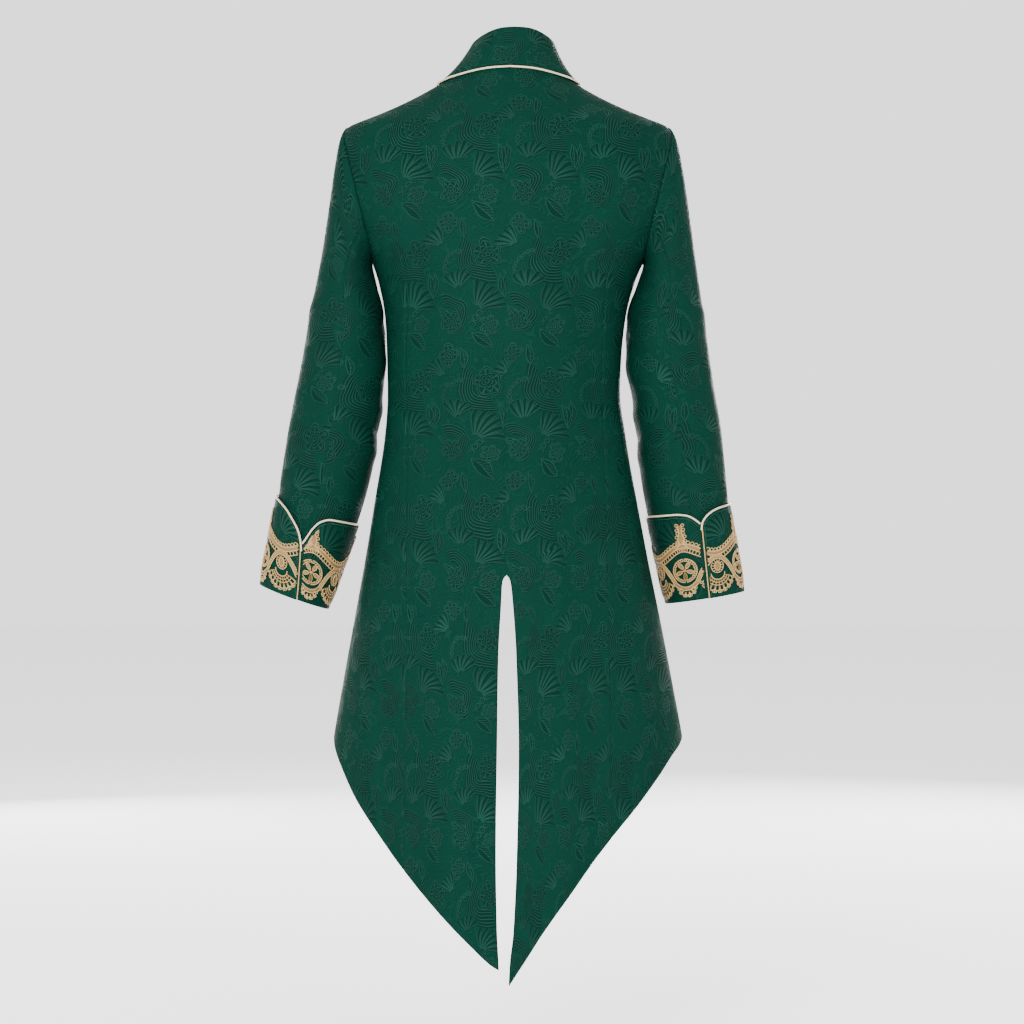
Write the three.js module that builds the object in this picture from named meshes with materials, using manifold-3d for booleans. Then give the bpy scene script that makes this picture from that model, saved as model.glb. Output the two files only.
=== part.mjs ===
// A long-tailed suit jacket in green brocade, as worn by a general figure that isn't there.
// Millimetres, +Z up. The origin is at the base of the neck, over the middle of the shoulders.
// The wearer's left is +X, the front faces -Y and the centre back faces +Y.
// Every piece of cloth is a thin wall: its outer points lie on one surface and its inner points
// lie one wall's thickness inside.

import * as THREE from 'three';
import { mergeVertices } from 'three/addons/utils/BufferGeometryUtils.js';
import Module from 'manifold-3d';

const wasm = await Module();
wasm.setup();

// Driving dimensions
const CLOTH = 1.5; // thickness of the brocade wall
const SEAM_GAP = 0.35; // between two panels along a seam
const LACE_THICK = 1.2;
const PIPING_RADIUS = 1.3;
const COLLAR_THICK = 2;

const NECK_HALF_WIDTH = 68; // the neck seam seen from above
const NECK_BACK = 58;
const NECK_FRONT = 74;
const NECK_LEAN = -0.12; // the neck leans to the wearer's right by this share of its height
const SHOULDER_TIP_Z = -47;
const ARMHOLE_FOOT_Z = -228;
const ARMHOLE_BACK_TURN = 28; // degrees that the armhole reaches round to the back
const ARMHOLE_FRONT_TURN = 31;
const SIDE_SEAM_TURN = 96; // degrees from the centre back
const SIDE_BACK_SEAM_X = 129; // how far the side-back seam runs from the centre back
const SIDE_BACK_SEAM_TOP_Z = -183;
const SIDE_BACK_SEAM_BEND = 22; // how quickly the seam bends from the armhole to its straight run
const WAIST_BAND_TOP_Z = -300;
const SKIRT_TOP_Z = -430; // below it every row of points follows the hem
const VENT_TOP_Z = -640;
const FRONT_LAP = 12; // the left front passes the centre front by this much
const FRONT_LAP_LIFT = 2.7;

const GREEN = 0x164c3f;
const GOLD = 0xc9a876;
const SATIN = 0xe3d3b6;

// One row for each level of the body. wide is the half-width, back and front are the depths, and
// sway is how far the level stands off the middle, towards the wearer's left.
const BODY = [
  { z: -47, wide: 213, back: 96, front: 74, sway: 0 },
  { z: -57, wide: 222, back: 99, front: 80, sway: 0 },
  { z: -75, wide: 229, back: 104, front: 89, sway: 0 },
  { z: -98, wide: 231, back: 109, front: 98, sway: 0 },
  { z: -136, wide: 226, back: 115, front: 109, sway: 0 },
  { z: -173, wide: 211, back: 118, front: 115, sway: 0 },
  { z: -218, wide: 186, back: 119, front: 118, sway: 0 },
  { z: -228, wide: 180, back: 119, front: 118, sway: 0.5 },
  { z: -260, wide: 168.5, back: 117, front: 117, sway: 2 },
  { z: -300, wide: 160, back: 112, front: 114, sway: 3.5 },
  { z: -352, wide: 155.5, back: 103, front: 108, sway: 5 },
  { z: -400, wide: 154, back: 95, front: 104, sway: 5.5 },
  { z: -460, wide: 160, back: 98, front: 108, sway: 3.5 },
  { z: -540, wide: 173.5, back: 112, front: 116, sway: 3 },
  { z: -620, wide: 187.5, back: 122, front: 120, sway: 2 },
  { z: -700, wide: 203, back: 126, front: 121, sway: 1 },
  { z: -780, wide: 218, back: 126, front: 120, sway: 0.5 },
  { z: -858, wide: 232, back: 124, front: 118, sway: 0 },
  { z: -1000, wide: 255, back: 120, front: 116, sway: 0 },
  { z: -1180, wide: 278, back: 112, front: 112, sway: 0 },
];

// The neck seam and the collar, by degrees from the centre back. seam, fold and their leans set
// the stand. reach says how far down the shoulder the fall's edge lies, from 0 to 1.
const COLLAR = [
  { turn: 0, seam: 44, fold: 74, foldIn: 5, reach: 0.18 },
  { turn: 12, seam: 43.6, fold: 73.5, foldIn: 5.2, reach: 0.19 },
  { turn: 45, seam: 33, fold: 66, foldIn: 10, reach: 0.215 },
  { turn: 60, seam: 26, fold: 61, foldIn: 11.5, reach: 0.21 },
  { turn: 90, seam: 13, fold: 49, foldIn: 13, reach: 0.16 },
  { turn: 130, seam: -13, fold: 24, foldIn: 6, reach: 0.34 },
  { turn: 160, seam: -46, fold: -9, foldIn: 3, reach: 0.6 },
  { turn: 180, seam: -58, fold: -24, foldIn: 1, reach: 0.74 },
];

// The hem, by degrees from the centre back, as heights on the wearer's left and right.
const HEM = [
  { turn: 0, left: -1156, right: -1172 },
  { turn: 4.4, left: -1144, right: -1140 },
  { turn: 10, left: -1120, right: -1100 },
  { turn: 18, left: -1084, right: -1052 },
  { turn: 26, left: -1047, right: -1008 },
  { turn: 34, left: -1011, right: -973 },
  { turn: 43, left: -973, right: -941 },
  { turn: 54, left: -934, right: -907 },
  { turn: 67, left: -893, right: -877 },
  { turn: 80, left: -867, right: -862 },
  { turn: 88, left: -856, right: -856 },
  { turn: 96, left: -842, right: -842 },
  { turn: 110, left: -792, right: -792 },
  { turn: 130, left: -690, right: -690 },
  { turn: 150, left: -573, right: -573 },
  { turn: 165, left: -490, right: -490 },
  { turn: 175, left: -449, right: -449 },
  { turn: 180, left: -442, right: -442 },
  { turn: 187, left: -436, right: -436 },
];

// Half the opening of the centre-back vent at each level.
const VENT = [
  { z: -640, left: 0, right: 0 },
  { z: -643, left: 3.2, right: 3 },
  { z: -650, left: 5.6, right: 5.2 },
  { z: -676, left: 7.4, right: 7.6 },
  { z: -742, left: 11.5, right: 11.5 },
  { z: -862, left: 14, right: 14 },
  { z: -1000, left: 15.5, right: 11.5 },
  { z: -1101, left: 14, right: 7 },
  { z: -1141, left: 12, right: 2.5 },
  { z: -1180, left: 11, right: 0.5 },
];

// The sleeves, one row for each ring from the armpit to the hem. Each ring runs through an outer
// and an inner point, fore is how far it hangs in front and deep is its half-depth.
const SLEEVES = {
  left: [
    { outX: 255, outZ: -258, inX: 173.5, inZ: -262, fore: 1, deep: 59 },
    { outX: 264, outZ: -300, inX: 166.5, inZ: -304, fore: 2, deep: 63 },
    { outX: 274, outZ: -356, inX: 163.5, inZ: -356, fore: 4, deep: 62 },
    { outX: 284.6, outZ: -408, inX: 167.6, inZ: -412, fore: 8, deep: 59 },
    { outX: 294, outZ: -455, inX: 175, inZ: -470, fore: 14, deep: 57 },
    { outX: 301.5, outZ: -498, inX: 186, inZ: -522, fore: 20, deep: 55 },
    { outX: 307, outZ: -536, inX: 201.5, inZ: -573, fore: 27, deep: 52 },
    { outX: 331, outZ: -655, inX: 244, inZ: -687, fore: 42, deep: 46 },
  ],
  right: [
    { outX: 254, outZ: -258, inX: 170, inZ: -262, fore: 1, deep: 59 },
    { outX: 260.5, outZ: -300, inX: 159.5, inZ: -304, fore: 2, deep: 63 },
    { outX: 268.7, outZ: -356, inX: 157.5, inZ: -356, fore: 4, deep: 62 },
    { outX: 276.6, outZ: -408, inX: 166, inZ: -412, fore: 8, deep: 59 },
    { outX: 285, outZ: -455, inX: 171.5, inZ: -464, fore: 14, deep: 57 },
    { outX: 290.5, outZ: -503, inX: 178, inZ: -516, fore: 20, deep: 55 },
    { outX: 295, outZ: -549, inX: 187, inZ: -564, fore: 27, deep: 52 },
    { outX: 315, outZ: -664, inX: 214, inZ: -680, fore: 42, deep: 48 },
  ],
};
const WRIST_RING = 6; // the cuff lies on the straight stretch between this ring and the last
const ARMHOLE_LOW = 32; // degrees below the armhole's middle where the two sleeve seams start

// The cuffs. high is the height above the hem of the upper edge, by degrees round from the
// overlap, and the overlap's edge drifts from hemTurn to notchTurn on its way up.
const CUFFS = {
  left: {
    hemTurn: -8,
    notchTurn: 7,
    laceTurn: 26,
    edge: [
      { turn: 0, high: 70 },
      { turn: 4, high: 85 },
      { turn: 12, high: 96 },
      { turn: 27, high: 109 },
      { turn: 45, high: 115 },
      { turn: 84, high: 120 },
      { turn: 180, high: 119 },
      { turn: 270, high: 118 },
      { turn: 318, high: 114 },
      { turn: 332, high: 107 },
      { turn: 342, high: 95 },
      { turn: 352, high: 77 },
      { turn: 360, high: 66 },
      { turn: 370, high: 60 },
    ],
  },
  right: {
    hemTurn: 4,
    notchTurn: 12,
    laceTurn: 14,
    edge: [
      { turn: 0, high: 98 },
      { turn: 6, high: 106 },
      { turn: 16, high: 112 },
      { turn: 30, high: 115 },
      { turn: 84, high: 117 },
      { turn: 180, high: 117 },
      { turn: 270, high: 117 },
      { turn: 322, high: 115 },
      { turn: 338, high: 112 },
      { turn: 348, high: 106 },
      { turn: 354, high: 100 },
      { turn: 360, high: 93 },
      { turn: 370, high: 84 },
    ],
  },
};
const CUFF_CLEARANCE = { left: 1.9, right: 1.6 }; // between the sleeve and the cuff
const CUFF_LAP_TURN = 370; // degrees, so the end passes 10 degrees under the start
const CUFF_LAP_LIFT = 2.5;
const LACE_CLEARANCE = 0.8; // between the cuff and its lace
const LACE_REPEATS = 4; // round each cuff
const LACE_REPEAT_COLUMNS = [0, 0.035, 0.09, 0.2, 0.35, 0.5, 0.65, 0.8, 0.91, 0.965];
const repeatTurn = 360 / LACE_REPEATS;
const BUTTON_COUNT = 5;
const BUTTON_RADIUS = 10;
const BUTTON_THICK = 3.5;
const BUTTON_SIDES = 12;

const RAD = Math.PI / 180;
const V = (x, y, z) => new THREE.Vector3(x, y, z);
const lerp = THREE.MathUtils.lerp;
const smooth = THREE.MathUtils.smoothstep;

// Reads a column of a table between its rows along a curve that never overshoots them.
function reader(rows, key) {
  const sorted = [...rows].sort((a, b) => a[key] - b[key]);
  const at = sorted.map((row) => row[key]);
  const slopes = {};
  const slopeOf = (column) => {
    if (slopes[column]) return slopes[column];
    const steps = at.slice(1).map((x, i) => (sorted[i + 1][column] - sorted[i][column]) / (x - at[i]));
    const middle = steps.slice(1).map((s, i) => {
      if (s * steps[i] <= 0) return 0;
      return (2 * s * steps[i]) / (s + steps[i]);
    });
    slopes[column] = [steps[0], ...middle, steps[steps.length - 1]];
    return slopes[column];
  };
  return (value, column) => {
    const x = Math.min(Math.max(value, at[0]), at[at.length - 1]);
    let i = 0;
    while (i < at.length - 2 && x > at[i + 1]) i += 1;
    const width = at[i + 1] - at[i];
    const t = (x - at[i]) / width;
    const slope = slopeOf(column);
    const from = sorted[i][column];
    const to = sorted[i + 1][column];
    const near = (1 + 2 * t) * (1 - t) ** 2 * from + t * (1 - t) ** 2 * width * slope[i];
    return near + t * t * (3 - 2 * t) * to + t * t * (t - 1) * width * slope[i + 1];
  };
}

function rootBetween(low, high, miss) {
  const rising = miss(high) > miss(low);
  for (let i = 0; i < 50; i += 1) {
    const middle = (low + high) / 2;
    if (miss(middle) > 0 === rising) high = middle;
    else low = middle;
  }
  return (low + high) / 2;
}

const body = reader(BODY, 'z');
const collarAt = reader(COLLAR, 'turn');
const hemAt = reader(HEM, 'turn');
const ventAt = reader(VENT, 'z');

// The pose: the neck leans to the right and the waist sways to the left.
function posed(p) {
  p.x += NECK_LEAN * Math.max(0, p.z) + (p.z < BODY[0].z ? body(p.z, 'sway') : 0);
  return p;
}

// The body's outer surface below the shoulders, at a turn from the centre back and a height.
function trunk(turn, z) {
  const c = Math.cos(turn);
  const depth = c > 0 ? body(z, 'back') : body(z, 'front');
  return V(body(z, 'wide') * Math.sin(turn), depth * c, z);
}

function neckSeam(turn) {
  const c = Math.cos(turn);
  const depth = c > 0 ? NECK_BACK : NECK_FRONT;
  const z = collarAt(Math.min(turn / RAD, 360 - turn / RAD), 'seam');
  return V(NECK_HALF_WIDTH * Math.sin(turn), depth * c, z);
}

const YOKE_FRONT_DROP = 56; // the yoke's lower edge is this much lower at the centre front
const YOKE_HOLLOW = 4; // the shoulder slope dips by this much between neck and tip

function yokeFoot(turn) {
  return SHOULDER_TIP_Z - YOKE_FRONT_DROP * smooth(turn / RAD, 90, 170);
}

// The shoulder, from the neck seam at down = 0 to the level of the shoulder tip at down = 1.
function yoke(turn, down) {
  const from = neckSeam(turn);
  const to = trunk(turn, yokeFoot(turn));
  const p = from.lerp(to, down);
  p.z -= YOKE_HOLLOW * Math.sin(Math.PI * down);
  return p;
}

function normalOf(surface, a, b, stepA, stepB) {
  const alongA = surface(a + stepA, b).sub(surface(a - stepA, b));
  const alongB = surface(a, b + stepB).sub(surface(a, b - stepB));
  return alongA.cross(alongB).normalize();
}

// A point on the left half of the body, moved out by lift along the surface's normal.
function trunkPoint(turn, z, lift) {
  const n = normalOf(trunk, turn, z, 0.01, 1);
  if (n.dot(V(Math.sin(turn), Math.cos(turn), 0)) < 0) n.negate();
  return trunk(turn, z).addScaledVector(n, lift);
}

function yokePoint(turn, down, lift) {
  const n = normalOf(yoke, turn, down, 0.01, 0.01);
  if (n.z < 0) n.negate();
  return yoke(turn, down).addScaledVector(n, lift);
}

const armholeMiddleZ = (SHOULDER_TIP_Z + ARMHOLE_FOOT_Z) / 2;
const armholeHalf = (SHOULDER_TIP_Z - ARMHOLE_FOOT_Z) / 2;

// The armhole is an oval in turn and height: below 0 is inside the hole.
function armholeMiss(turn, z) {
  const reach = (turn < Math.PI / 2 ? ARMHOLE_BACK_TURN : ARMHOLE_FRONT_TURN) * RAD;
  return ((turn - Math.PI / 2) / reach) ** 2 + ((z - armholeMiddleZ) / armholeHalf) ** 2 - 1;
}

function armholeReach(z) {
  return Math.sqrt(Math.max(0, 1 - ((z - armholeMiddleZ) / armholeHalf) ** 2));
}

// Half the gap of a seam as a turn. A seam that slants across the rows needs more of it.
function halfGap(z, slant = 0) {
  return ((SEAM_GAP / 2) * Math.hypot(1, slant)) / body(z, 'wide');
}

function armholeBack(z) {
  return Math.PI / 2 - ARMHOLE_BACK_TURN * RAD * armholeReach(z) - halfGap(z);
}

function armholeFront(z) {
  return Math.PI / 2 + ARMHOLE_FRONT_TURN * RAD * armholeReach(z) + halfGap(z);
}

const seamTopX = trunk(armholeBack(SIDE_BACK_SEAM_TOP_Z), SIDE_BACK_SEAM_TOP_Z).x;
const TAIL_SEAM_DRIFT = 6; // the side-back seam moves out by this much down the tail
const TAIL_LENGTH = 560;

function sideBackSeam(z) {
  const bend = Math.exp((z - SIDE_BACK_SEAM_TOP_Z) / SIDE_BACK_SEAM_BEND);
  const drift = TAIL_SEAM_DRIFT * Math.max(0, (SKIRT_TOP_Z - z) / TAIL_LENGTH);
  const x = SIDE_BACK_SEAM_X + drift + (seamTopX - SIDE_BACK_SEAM_X) * bend;
  return Math.asin(Math.min(0.99, x / body(z, 'wide')));
}

function sideBackGap(z) {
  const bend = Math.exp((z - SIDE_BACK_SEAM_TOP_Z) / SIDE_BACK_SEAM_BEND);
  return halfGap(z, (bend * (seamTopX - SIDE_BACK_SEAM_X)) / SIDE_BACK_SEAM_BEND);
}

const SIDE_SEAM = SIDE_SEAM_TURN * RAD;
const armholeEndZ = rootBetween(armholeMiddleZ, ARMHOLE_FOOT_Z - CLOTH, (z) => armholeMiss(SIDE_SEAM, z));

// Turns four sides' worth of grid points into a closed wall. outer and inner are rows of points.
function wall(outer, inner) {
  const rows = outer.length;
  const columns = outer[0].length;
  const points = [...outer.flat(), ...inner.flat()];
  const index = [];
  const top = (i, j) => i * columns + j;
  const under = (i, j) => (rows + i) * columns + j;
  const quad = (a, b, c, d) => index.push(a, b, c, a, c, d);
  for (let i = 0; i < rows - 1; i += 1) {
    for (let j = 0; j < columns - 1; j += 1) {
      quad(top(i, j), top(i + 1, j), top(i + 1, j + 1), top(i, j + 1));
      quad(under(i, j), under(i, j + 1), under(i + 1, j + 1), under(i + 1, j));
    }
  }
  for (let i = 0; i < rows - 1; i += 1) {
    quad(top(i, 0), under(i, 0), under(i + 1, 0), top(i + 1, 0));
    quad(top(i, columns - 1), top(i + 1, columns - 1), under(i + 1, columns - 1), under(i, columns - 1));
  }
  for (let j = 0; j < columns - 1; j += 1) {
    quad(top(0, j), top(0, j + 1), under(0, j + 1), under(0, j));
    quad(top(rows - 1, j), under(rows - 1, j), under(rows - 1, j + 1), top(rows - 1, j + 1));
  }
  return solidGeometry(points, index);
}

function volumeOf(points, index) {
  let volume = 0;
  for (let i = 0; i < index.length; i += 3) {
    const [a, b, c] = [points[index[i]], points[index[i + 1]], points[index[i + 2]]];
    volume += a.dot(b.clone().cross(c)) / 6;
  }
  return volume;
}

function solidGeometry(points, index) {
  const order = volumeOf(points, index) < 0 ? [...index].reverse() : index;
  const geometry = new THREE.BufferGeometry();
  const numbers = points.flatMap((p) => [p.x, p.y, p.z]);
  geometry.setAttribute('position', new THREE.Float32BufferAttribute(numbers, 3));
  geometry.setIndex(order);
  return geometry;
}

const materials = {
  brocade: new THREE.MeshStandardMaterial({ color: GREEN, roughness: 0.55 }),
  lace: new THREE.MeshStandardMaterial({ color: GOLD, roughness: 0.7 }),
  satin: new THREE.MeshStandardMaterial({ color: SATIN, roughness: 0.35 }),
  button: new THREE.MeshStandardMaterial({ color: GOLD, roughness: 0.4, metalness: 0.6 }),
};
const group = new THREE.Group();

function add(name, geometry, material) {
  const mesh = new THREE.Mesh(geometry, materials[material]);
  mesh.name = name;
  group.add(mesh);
}

const sides = { left: 1, right: -1 };

function mirrored(p, side) {
  p.x *= sides[side];
  return p;
}

// Shares of each band of rows, closest together where an armhole or the vent's top bends.
const YOKE_ROWS = [0, 0.22, 0.48, 0.75, 1];
const BACK_ARMHOLE_ROWS = [0.04, 0.12, 0.27, 0.48, 0.74, 1];
const FRONT_ARMHOLE_ROWS = [0.05, 0.14, 0.3, 0.5, 0.7, 0.86, 0.95, 1];
const UNDERARM_ROWS = [0.08, 0.2, 0.38, 0.65, 1];
const WAIST_ROWS = [0.33, 0.67, 1];
const ventRow = (z) => (SKIRT_TOP_Z - z) / (SKIRT_TOP_Z - HEM[0].right);
const SKIRT_ROWS = [0.1, 0.2, ventRow(VENT_TOP_Z), ventRow(-650), 0.4, 0.52, 0.64, 0.76, 0.87, 0.96, 1];

// One row of grid points between two edges. Each edge is a turn at a height, heightAt gives the
// row's own height at a turn and liftAt how far the cloth stands off there.
function trunkRow(shares, edgeFrom, edgeTo, heightAt, liftAt) {
  return shares.map((share) => {
    let turn = Math.PI / 2;
    let z = heightAt(turn);
    for (let i = 0; i < 30; i += 1) {
      turn = lerp(edgeFrom(z), edgeTo(z), share);
      z = heightAt(turn);
    }
    return { turn, z, lift: liftAt(turn) };
  });
}

function even(count) {
  return Array.from({ length: count + 1 }, (_, i) => i / count);
}

function panelWall(rows, side) {
  const place = (node, under) => {
    const lift = node.lift - under * CLOTH;
    const onYoke = node.down !== undefined;
    const p = onYoke ? yokePoint(node.turn, node.down, lift) : trunkPoint(node.turn, node.z, lift);
    return posed(mirrored(p, side));
  };
  return wall(
    rows.map((row) => row.map((node) => place(node, 0))),
    rows.map((row) => row.map((node) => place(node, 1))),
  );
}

const flush = () => 0;

function band(shares, rows, from, to, edgeFrom, edgeTo, liftAt = flush) {
  return rows.map((row) => {
    const heightAt = (turn) => lerp(from(turn), to(turn), row);
    return trunkRow(shares, edgeFrom, edgeTo, heightAt, liftAt);
  });
}

const hemOf = (side) => (turn) => hemAt(turn / RAD, side);
const level = (z) => () => z;

function backPanel(side) {
  const shares = even(8);
  const centre = (z) => Math.max(SEAM_GAP / 2, z < VENT_TOP_Z ? ventAt(z, side) : 0) / body(z, 'wide');
  const seam = (z) => sideBackSeam(z) - sideBackGap(z);
  const first = YOKE_ROWS.map((down) => {
    const from = SEAM_GAP / 2 / NECK_HALF_WIDTH;
    const to = Math.PI / 2 - SEAM_GAP / 2 / NECK_BACK;
    return shares.map((share) => ({ turn: lerp(from, to, share), down, lift: 0 }));
  });
  const top = level(SHOULDER_TIP_Z);
  const foot = level(SIDE_BACK_SEAM_TOP_Z);
  const waist = level(WAIST_BAND_TOP_Z);
  const skirt = level(SKIRT_TOP_Z);
  const rows = [
    ...first,
    ...band(shares, BACK_ARMHOLE_ROWS, top, foot, centre, armholeBack),
    ...band(shares, UNDERARM_ROWS, foot, waist, centre, seam),
    ...band(shares, WAIST_ROWS, waist, skirt, centre, seam),
    ...band(shares, SKIRT_ROWS, skirt, hemOf(side), centre, seam),
  ];
  return panelWall(rows, side);
}

function sideBackPanel(side) {
  const shares = even(5);
  const from = (z) => sideBackSeam(z) + sideBackGap(z);
  const to = (z) => SIDE_SEAM - halfGap(z);
  const waist = level(WAIST_BAND_TOP_Z);
  const skirt = level(SKIRT_TOP_Z);
  const topOf = shares.map((share) => {
    const miss = (z) => armholeMiss(lerp(from(z), to(z), share), z);
    return share === 0 ? SIDE_BACK_SEAM_TOP_Z : rootBetween(armholeMiddleZ, ARMHOLE_FOOT_Z - CLOTH, miss);
  });
  const upper = [0, ...UNDERARM_ROWS].map((row) =>
    shares.map((share, j) => {
      const z = lerp(topOf[j], WAIST_BAND_TOP_Z, row);
      return { turn: lerp(from(z), to(z), share), z, lift: 0 };
    }),
  );
  const rows = [
    ...upper,
    ...band(shares, WAIST_ROWS, waist, skirt, from, to),
    ...band(shares, SKIRT_ROWS, skirt, hemOf(side), from, to),
  ];
  return panelWall(rows, side);
}

const YOKE_END_WIDE = 150; // the yoke's half-width where its lower edge meets the centre front

// The left front laps over the right, so it lies a little further out at the centre front.
function lapLift(turn) {
  return FRONT_LAP_LIFT * smooth(turn / RAD, 140, 168);
}

function frontPanel(side) {
  const shares = even(8);
  const past = side === 'left' ? FRONT_LAP : -SEAM_GAP;
  const lift = side === 'left' ? lapLift : flush;
  const centre = (z) => Math.PI + past / body(z, 'wide');
  const from = Math.PI / 2 + SEAM_GAP / 2 / NECK_FRONT;
  const first = YOKE_ROWS.map((down) =>
    shares.map((share) => {
      const lap = past / lerp(NECK_HALF_WIDTH, YOKE_END_WIDE, down);
      const turn = lerp(from, Math.PI + lap, share);
      return { turn, down, lift: lift(turn) };
    }),
  );
  const sideEdge = (z) => SIDE_SEAM + halfGap(z);
  const foot = level(armholeEndZ);
  const waist = level(WAIST_BAND_TOP_Z);
  const skirt = level(SKIRT_TOP_Z);
  const rows = [
    ...first,
    ...band(shares, FRONT_ARMHOLE_ROWS, yokeFoot, foot, armholeFront, centre, lift),
    ...band(shares, UNDERARM_ROWS, foot, waist, sideEdge, centre, lift),
    ...band(shares, WAIST_ROWS, waist, skirt, sideEdge, centre, lift),
    ...band(shares, SKIRT_ROWS, skirt, hemOf(side), sideEdge, centre, lift),
  ];
  return panelWall(rows, side);
}

const SLEEVE_START_GAP = 1.1;

// The armhole's loop in space, at a turn round the sleeve: 0 is the back seam of the sleeve, 90
// the shoulder tip, 180 the front seam and 270 the armpit.
function armholePoint(turn) {
  const low = ARMHOLE_LOW * RAD;
  const round =
    turn <= Math.PI
      ? lerp(-low, Math.PI + low, turn / Math.PI)
      : lerp(Math.PI + low, 2 * Math.PI - low, turn / Math.PI - 1);
  const reach = (Math.cos(round) > 0 ? ARMHOLE_BACK_TURN : ARMHOLE_FRONT_TURN) * RAD;
  const z = armholeMiddleZ + armholeHalf * Math.sin(round);
  const p = trunk(Math.PI / 2 - reach * Math.cos(round), z);
  p.x += SLEEVE_START_GAP;
  return p;
}

function ringPoint(ring, turn) {
  const across = Math.sin(turn);
  const x = lerp(ring.inX, ring.outX, (1 + across) / 2);
  const z = lerp(ring.inZ, ring.outZ, (1 + across) / 2);
  return V(x, -ring.fore + ring.deep * Math.cos(turn), z);
}

const ringReaders = Object.fromEntries(
  Object.entries(SLEEVES).map(([side, rings]) => {
    const numbered = rings.map((ring, at) => ({ ...ring, at }));
    return [side, reader(numbered, 'at')];
  }),
);

function ringAt(side, at) {
  const columns = ['outX', 'outZ', 'inX', 'inZ', 'fore', 'deep'];
  return Object.fromEntries(columns.map((c) => [c, ringReaders[side](at, c)]));
}

const CAP_OUT = 13; // how far the sleeve head leaves the shoulder before it turns down
const CAP_OUT_ARMPIT = 3;
const CAP_HANG = 0.5;
const CAP_SPREAD = 0.25; // how much the sleeve head leans to the front and back as it leaves
const CAP_DROP = -0.1;

// The sleeve's outer surface. along is below 0 in the sleeve head, from -1 at the armhole, and
// from 0 on it counts the rings.
function sleeve(side, turn, along) {
  if (along >= WRIST_RING) {
    const [a, b] = SLEEVES[side].slice(-2);
    return ringPoint(a, turn).lerp(ringPoint(b, turn), along - WRIST_RING);
  }
  if (along >= 0) return ringPoint(ringAt(side, along), turn);
  const from = armholePoint(turn);
  const to = ringPoint(ringAt(side, 0), turn);
  const below = ringPoint(ringAt(side, 0.3), turn);
  const high = (from.z - ARMHOLE_FOOT_Z) / (SHOULDER_TIP_Z - ARMHOLE_FOOT_Z);
  const reach = lerp(CAP_OUT_ARMPIT, CAP_OUT, high);
  const out = V(1, CAP_SPREAD * Math.cos(turn), CAP_DROP).multiplyScalar(reach);
  const up = to.clone().sub(below).normalize().multiplyScalar(CAP_HANG * (from.z - to.z));
  const leaving = from.clone().add(out);
  const arriving = to.clone().add(up);
  return new THREE.CubicBezierCurve3(from, leaving, arriving, to).getPoint(along + 1);
}

function sleevePoint(side, turn, along, lift) {
  const at = Math.min(Math.max(along, -0.99), SLEEVES[side].length - 1.01);
  const surface = (a, b) => sleeve(side, a, b);
  const n = normalOf(surface, turn, at, 0.02, 0.01);
  const middle = ringPoint(ringAt(side, Math.max(0, at)), turn + Math.PI).add(sleeve(side, turn, at));
  const outward = sleeve(side, turn, at).sub(middle.multiplyScalar(0.5));
  if (n.dot(outward) < 0) n.negate();
  return sleeve(side, turn, along).addScaledVector(n, lift);
}

const SLEEVE_RADIUS = 55; // about half the sleeve's width
const WRIST_RADIUS = 50;
const MM_ROUND = SLEEVE_RADIUS * RAD; // millimetres round the cuff for each degree
const SLEEVE_ROWS = [-1, -0.9, -0.74, -0.5, -0.25, 0, 0.5, 1, 1.6, 2.3, 3, 3.8, 4.6, 5.3, 6, 7];
const SLEEVE_COLUMNS = { upper: 11, under: 8 };

function sleevePanel(side, part) {
  const [from, to] = part === 'upper' ? [0, Math.PI] : [Math.PI, 2 * Math.PI];
  const gap = SEAM_GAP / 2 / SLEEVE_RADIUS;
  const turns = even(SLEEVE_COLUMNS[part]).map((share) => lerp(from + gap, to - gap, share));
  const layer = (lift) =>
    SLEEVE_ROWS.map((along) => turns.map((turn) => mirrored(sleevePoint(side, turn, along, lift), side)));
  return wall(layer(0), layer(-CLOTH));
}

function cuffLength(side, turn) {
  return sleeve(side, turn, WRIST_RING).distanceTo(sleeve(side, turn, WRIST_RING + 1));
}

// The start of the cuff lies over its end, and comes down to the sleeve over this many degrees.
const CUFF_LAP_EASE = 75;

function cuffLift(side, turnDegrees) {
  const rise = CUFF_LAP_LIFT * (1 - smooth(turnDegrees, 0, CUFF_LAP_EASE));
  return CUFF_CLEARANCE[side] + (turnDegrees < 180 ? rise : 0);
}

function cuffTurn(side, turnDegrees, high) {
  const cuff = CUFFS[side];
  const notchHigh = cuff.edge[0].high;
  return (turnDegrees + lerp(cuff.hemTurn, cuff.notchTurn, high / notchHigh)) * RAD;
}

// A point of the cuff, by degrees round from its overlap and height above the hem.
function cuffPoint(side, turnDegrees, high, lift) {
  const turn = cuffTurn(side, turnDegrees, high);
  const along = WRIST_RING + 1 - high / cuffLength(side, turn);
  return sleevePoint(side, turn, along, lift);
}

const cuffEdges = { left: reader(CUFFS.left.edge, 'turn'), right: reader(CUFFS.right.edge, 'turn') };
const CUFF_EDGE_COLUMNS = [0, 4, 9, 16, 342, 350, 356, 360, CUFF_LAP_TURN];
const CUFF_HEM_OVERHANG = 1;
const CUFF_COLUMN_ROOM = 2; // degrees

// The cuff and its lace share their columns of points, so that one lies evenly on the other.
function cuffColumns(side) {
  const turns = [...CUFF_EDGE_COLUMNS];
  for (let repeat = -2; repeat <= LACE_REPEATS + 1; repeat += 1) {
    LACE_REPEAT_COLUMNS.forEach((share) => {
      const turn = CUFFS[side].laceTurn + (repeat - 0.5 + share) * repeatTurn;
      const clear = CUFF_EDGE_COLUMNS.every((edge) => Math.abs(edge - turn) > CUFF_COLUMN_ROOM);
      if (clear && turn > 0 && turn < 360) turns.push(turn);
    });
  }
  return turns.sort((a, b) => a - b);
}

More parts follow.
